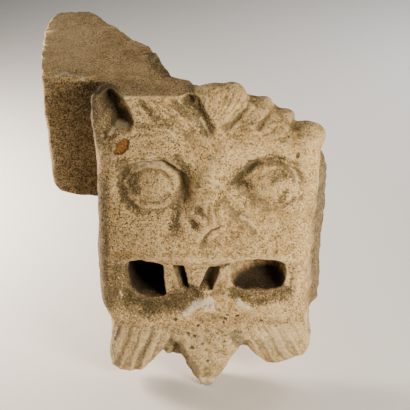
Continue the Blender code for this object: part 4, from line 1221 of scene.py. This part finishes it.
# Soil, with painted shade on the left of the face, on the tail's sides and in the beard's furrows.
grimed_and_shaded = layer(hollowed, "grime", "3F3724", 0.44, 0.90, 0.74, specks, 2.7)
# Scratches, with painted light on the tufts, the right tooth and the top of the tail.
scraped_and_lit = layer(grimed_and_shaded, "scratch", "E0CCA2", 0.35, 1.00, 0.55, specks, 2.6)
limed = layer(scraped_and_lit, "lime", "E1D5BE", 0.36, 0.80, 0.80, specks, 3.0)
scorched = layer(limed, "iron", "3A2614", 0.12, 0.40, 0.85, crumbs, 0.5)
rusty = layer(scorched, "iron", "7A4F22", 0.45, 0.80, 0.92, specks, 1.6)
bright_rust = layer(rusty, "iron", "B8843C", 0.90, 1.20, 0.75, specks, 3.0)
# Painted shade in the mouth, under the lip, in the ear, on the tail's front strip and on the left of the
# face, over dark dirt.
dark = layer(bright_rust, "cavity", "1E170E", 0.05, 0.90, 0.93, crumbs, 0.3)
print("layers, now", len(tree.nodes), "nodes")

# %% Skin of grains
# The real skin is about as fine as its grains. It is drawn at 1.3 mm, so that it shows.
skin = add(tree, "ShaderNodeTexNoise", [("Scale", 1 / (1.3 * MM)), ("Detail", 4.0), ("Roughness", 0.75)],
           [("Vector", place, "Object")])
height = add(tree, "ShaderNodeMath", [("operation", "MULTIPLY_ADD"), (1, -0.8)],
             [(0, pore_mask, "Value"), (2, skin, "Fac")])
bump = add(tree, "ShaderNodeBump", [("Strength", 0.8), ("Distance", 1.1 * MM)], [("Height", height, "Value")])
# Limestone has an IOR of about 1.5. Its dusty skin takes most of the gloss away.
surface = add(tree, "ShaderNodeBsdfPrincipled",
              [("Roughness", 0.94), ("IOR", 1.5), ("Specular IOR Level", 0.25)],
              [("Base Color", dark, MIXED), ("Normal", bump, "Normal")])
add(tree, "ShaderNodeOutputMaterial", [], [("Surface", surface, "BSDF")])
block.data.materials.clear()
block.data.materials.append(limestone)
print("limestone:", len(tree.nodes), "nodes")

# %% [markdown]
# ## Into the frame
#
# The carved block goes to its place by moving its mesh, so that the object itself stays at the
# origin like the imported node. Then it rides on the body and stands for the node.

# %% Place the block
block.data.transform(Matrix.Translation(-ZERO))
block.data.shade_smooth()
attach(block, "root")
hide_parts("head_corbel")
points = read_points(block)
print("block box", points.min(0).round(4).tolist(), points.max(0).round(4).tolist())

# %% [markdown]
# ## Floor, light and camera
#
# The floor is a large sheet of pale matt paper. The key lamp stands at the right front, a little
# above the mask, and models its relief. A low lamp at the left and a weak one at the back right
# brighten the paper and leave the front of the stone to the key. A weak sky fills the shadows.
# The camera stands a metre away and looks down at 28 degrees, as the photograph does.

# %% Floor
floor_mesh = bpy.data.meshes.new("studio_floor")
reach = 12.0                                        # metres, beyond every view
floor_mesh.from_pydata([(-reach, -reach, 0), (reach, -reach, 0), (reach, reach, 0), (-reach, reach, 0)],
                       [], [(0, 1, 2, 3)])
floor = bpy.data.objects.new("studio_floor", floor_mesh)
bpy.context.collection.objects.link(floor)
floor.location.z = packed_low.z - 0.5 * MM          # just under the tip of the beard
paper = bpy.data.materials.new("matt_paper")
paper.use_nodes = True
paper.node_tree.nodes["Principled BSDF"].inputs["Base Color"].default_value = paint("DBD9D5")
paper.node_tree.nodes["Principled BSDF"].inputs["Roughness"].default_value = 0.95
floor_mesh.materials.append(paper)


# %% Lamps and sky
def soft_lamp(name, place, aim, size, power, colour, spread=180):
    """Square area lamp that points at a spot. spread is the angle of its beam in degrees."""
    lamp = bpy.data.lights.new(name, "AREA")
    lamp.size = size
    lamp.spread = math.radians(spread)
    lamp.energy = power
    lamp.color = paint(colour)[:3]
    item = bpy.data.objects.new(name, lamp)
    bpy.context.collection.objects.link(item)
    item.location = place
    item.rotation_euler = (aim - item.location).to_track_quat("-Z", "Y").to_euler()


face = Vector((0.1247, -0.222, -0.08))              # middle of the mask
soft_lamp("key_lamp", face + 0.74 * Vector((0.62, -0.71, 0.33)), face, 0.24, 8.9, "FFF2DE")
soft_lamp("wash_lamp", Vector((-0.52, 0.12, 0.02)), Vector((-0.12, 0.06, -0.23)), 0.24, 17, "FFEFDF", 165)
soft_lamp("back_lamp", Vector((0.85, 0.55, 0.55)), Vector((0.70, 0.55, -0.15)), 0.60, 5, "FFFFFF", 120)
sky = bpy.data.worlds.new("soft_sky")
bpy.context.scene.world = sky
sky.use_nodes = True
sky.node_tree.nodes["Background"].inputs["Color"].default_value = paint("F0EEEB")
sky.node_tree.nodes["Background"].inputs["Strength"].default_value = 0.19

# %% Camera
lens_angle = math.radians(22)
camera_data = bpy.data.cameras.new("camera")
camera_data.sensor_width = 36                       # mm, as for a full frame
camera_data.lens = camera_data.sensor_width / 2 / math.tan(lens_angle / 2)
camera = bpy.data.objects.new("camera", camera_data)
bpy.context.collection.objects.link(camera)
camera.location = (0.12088, -1.01351, 0.37842)      # fits the mask into the photograph's frame
camera.rotation_euler = (math.radians(90 - 28), 0, 0)
bpy.context.scene.camera = camera
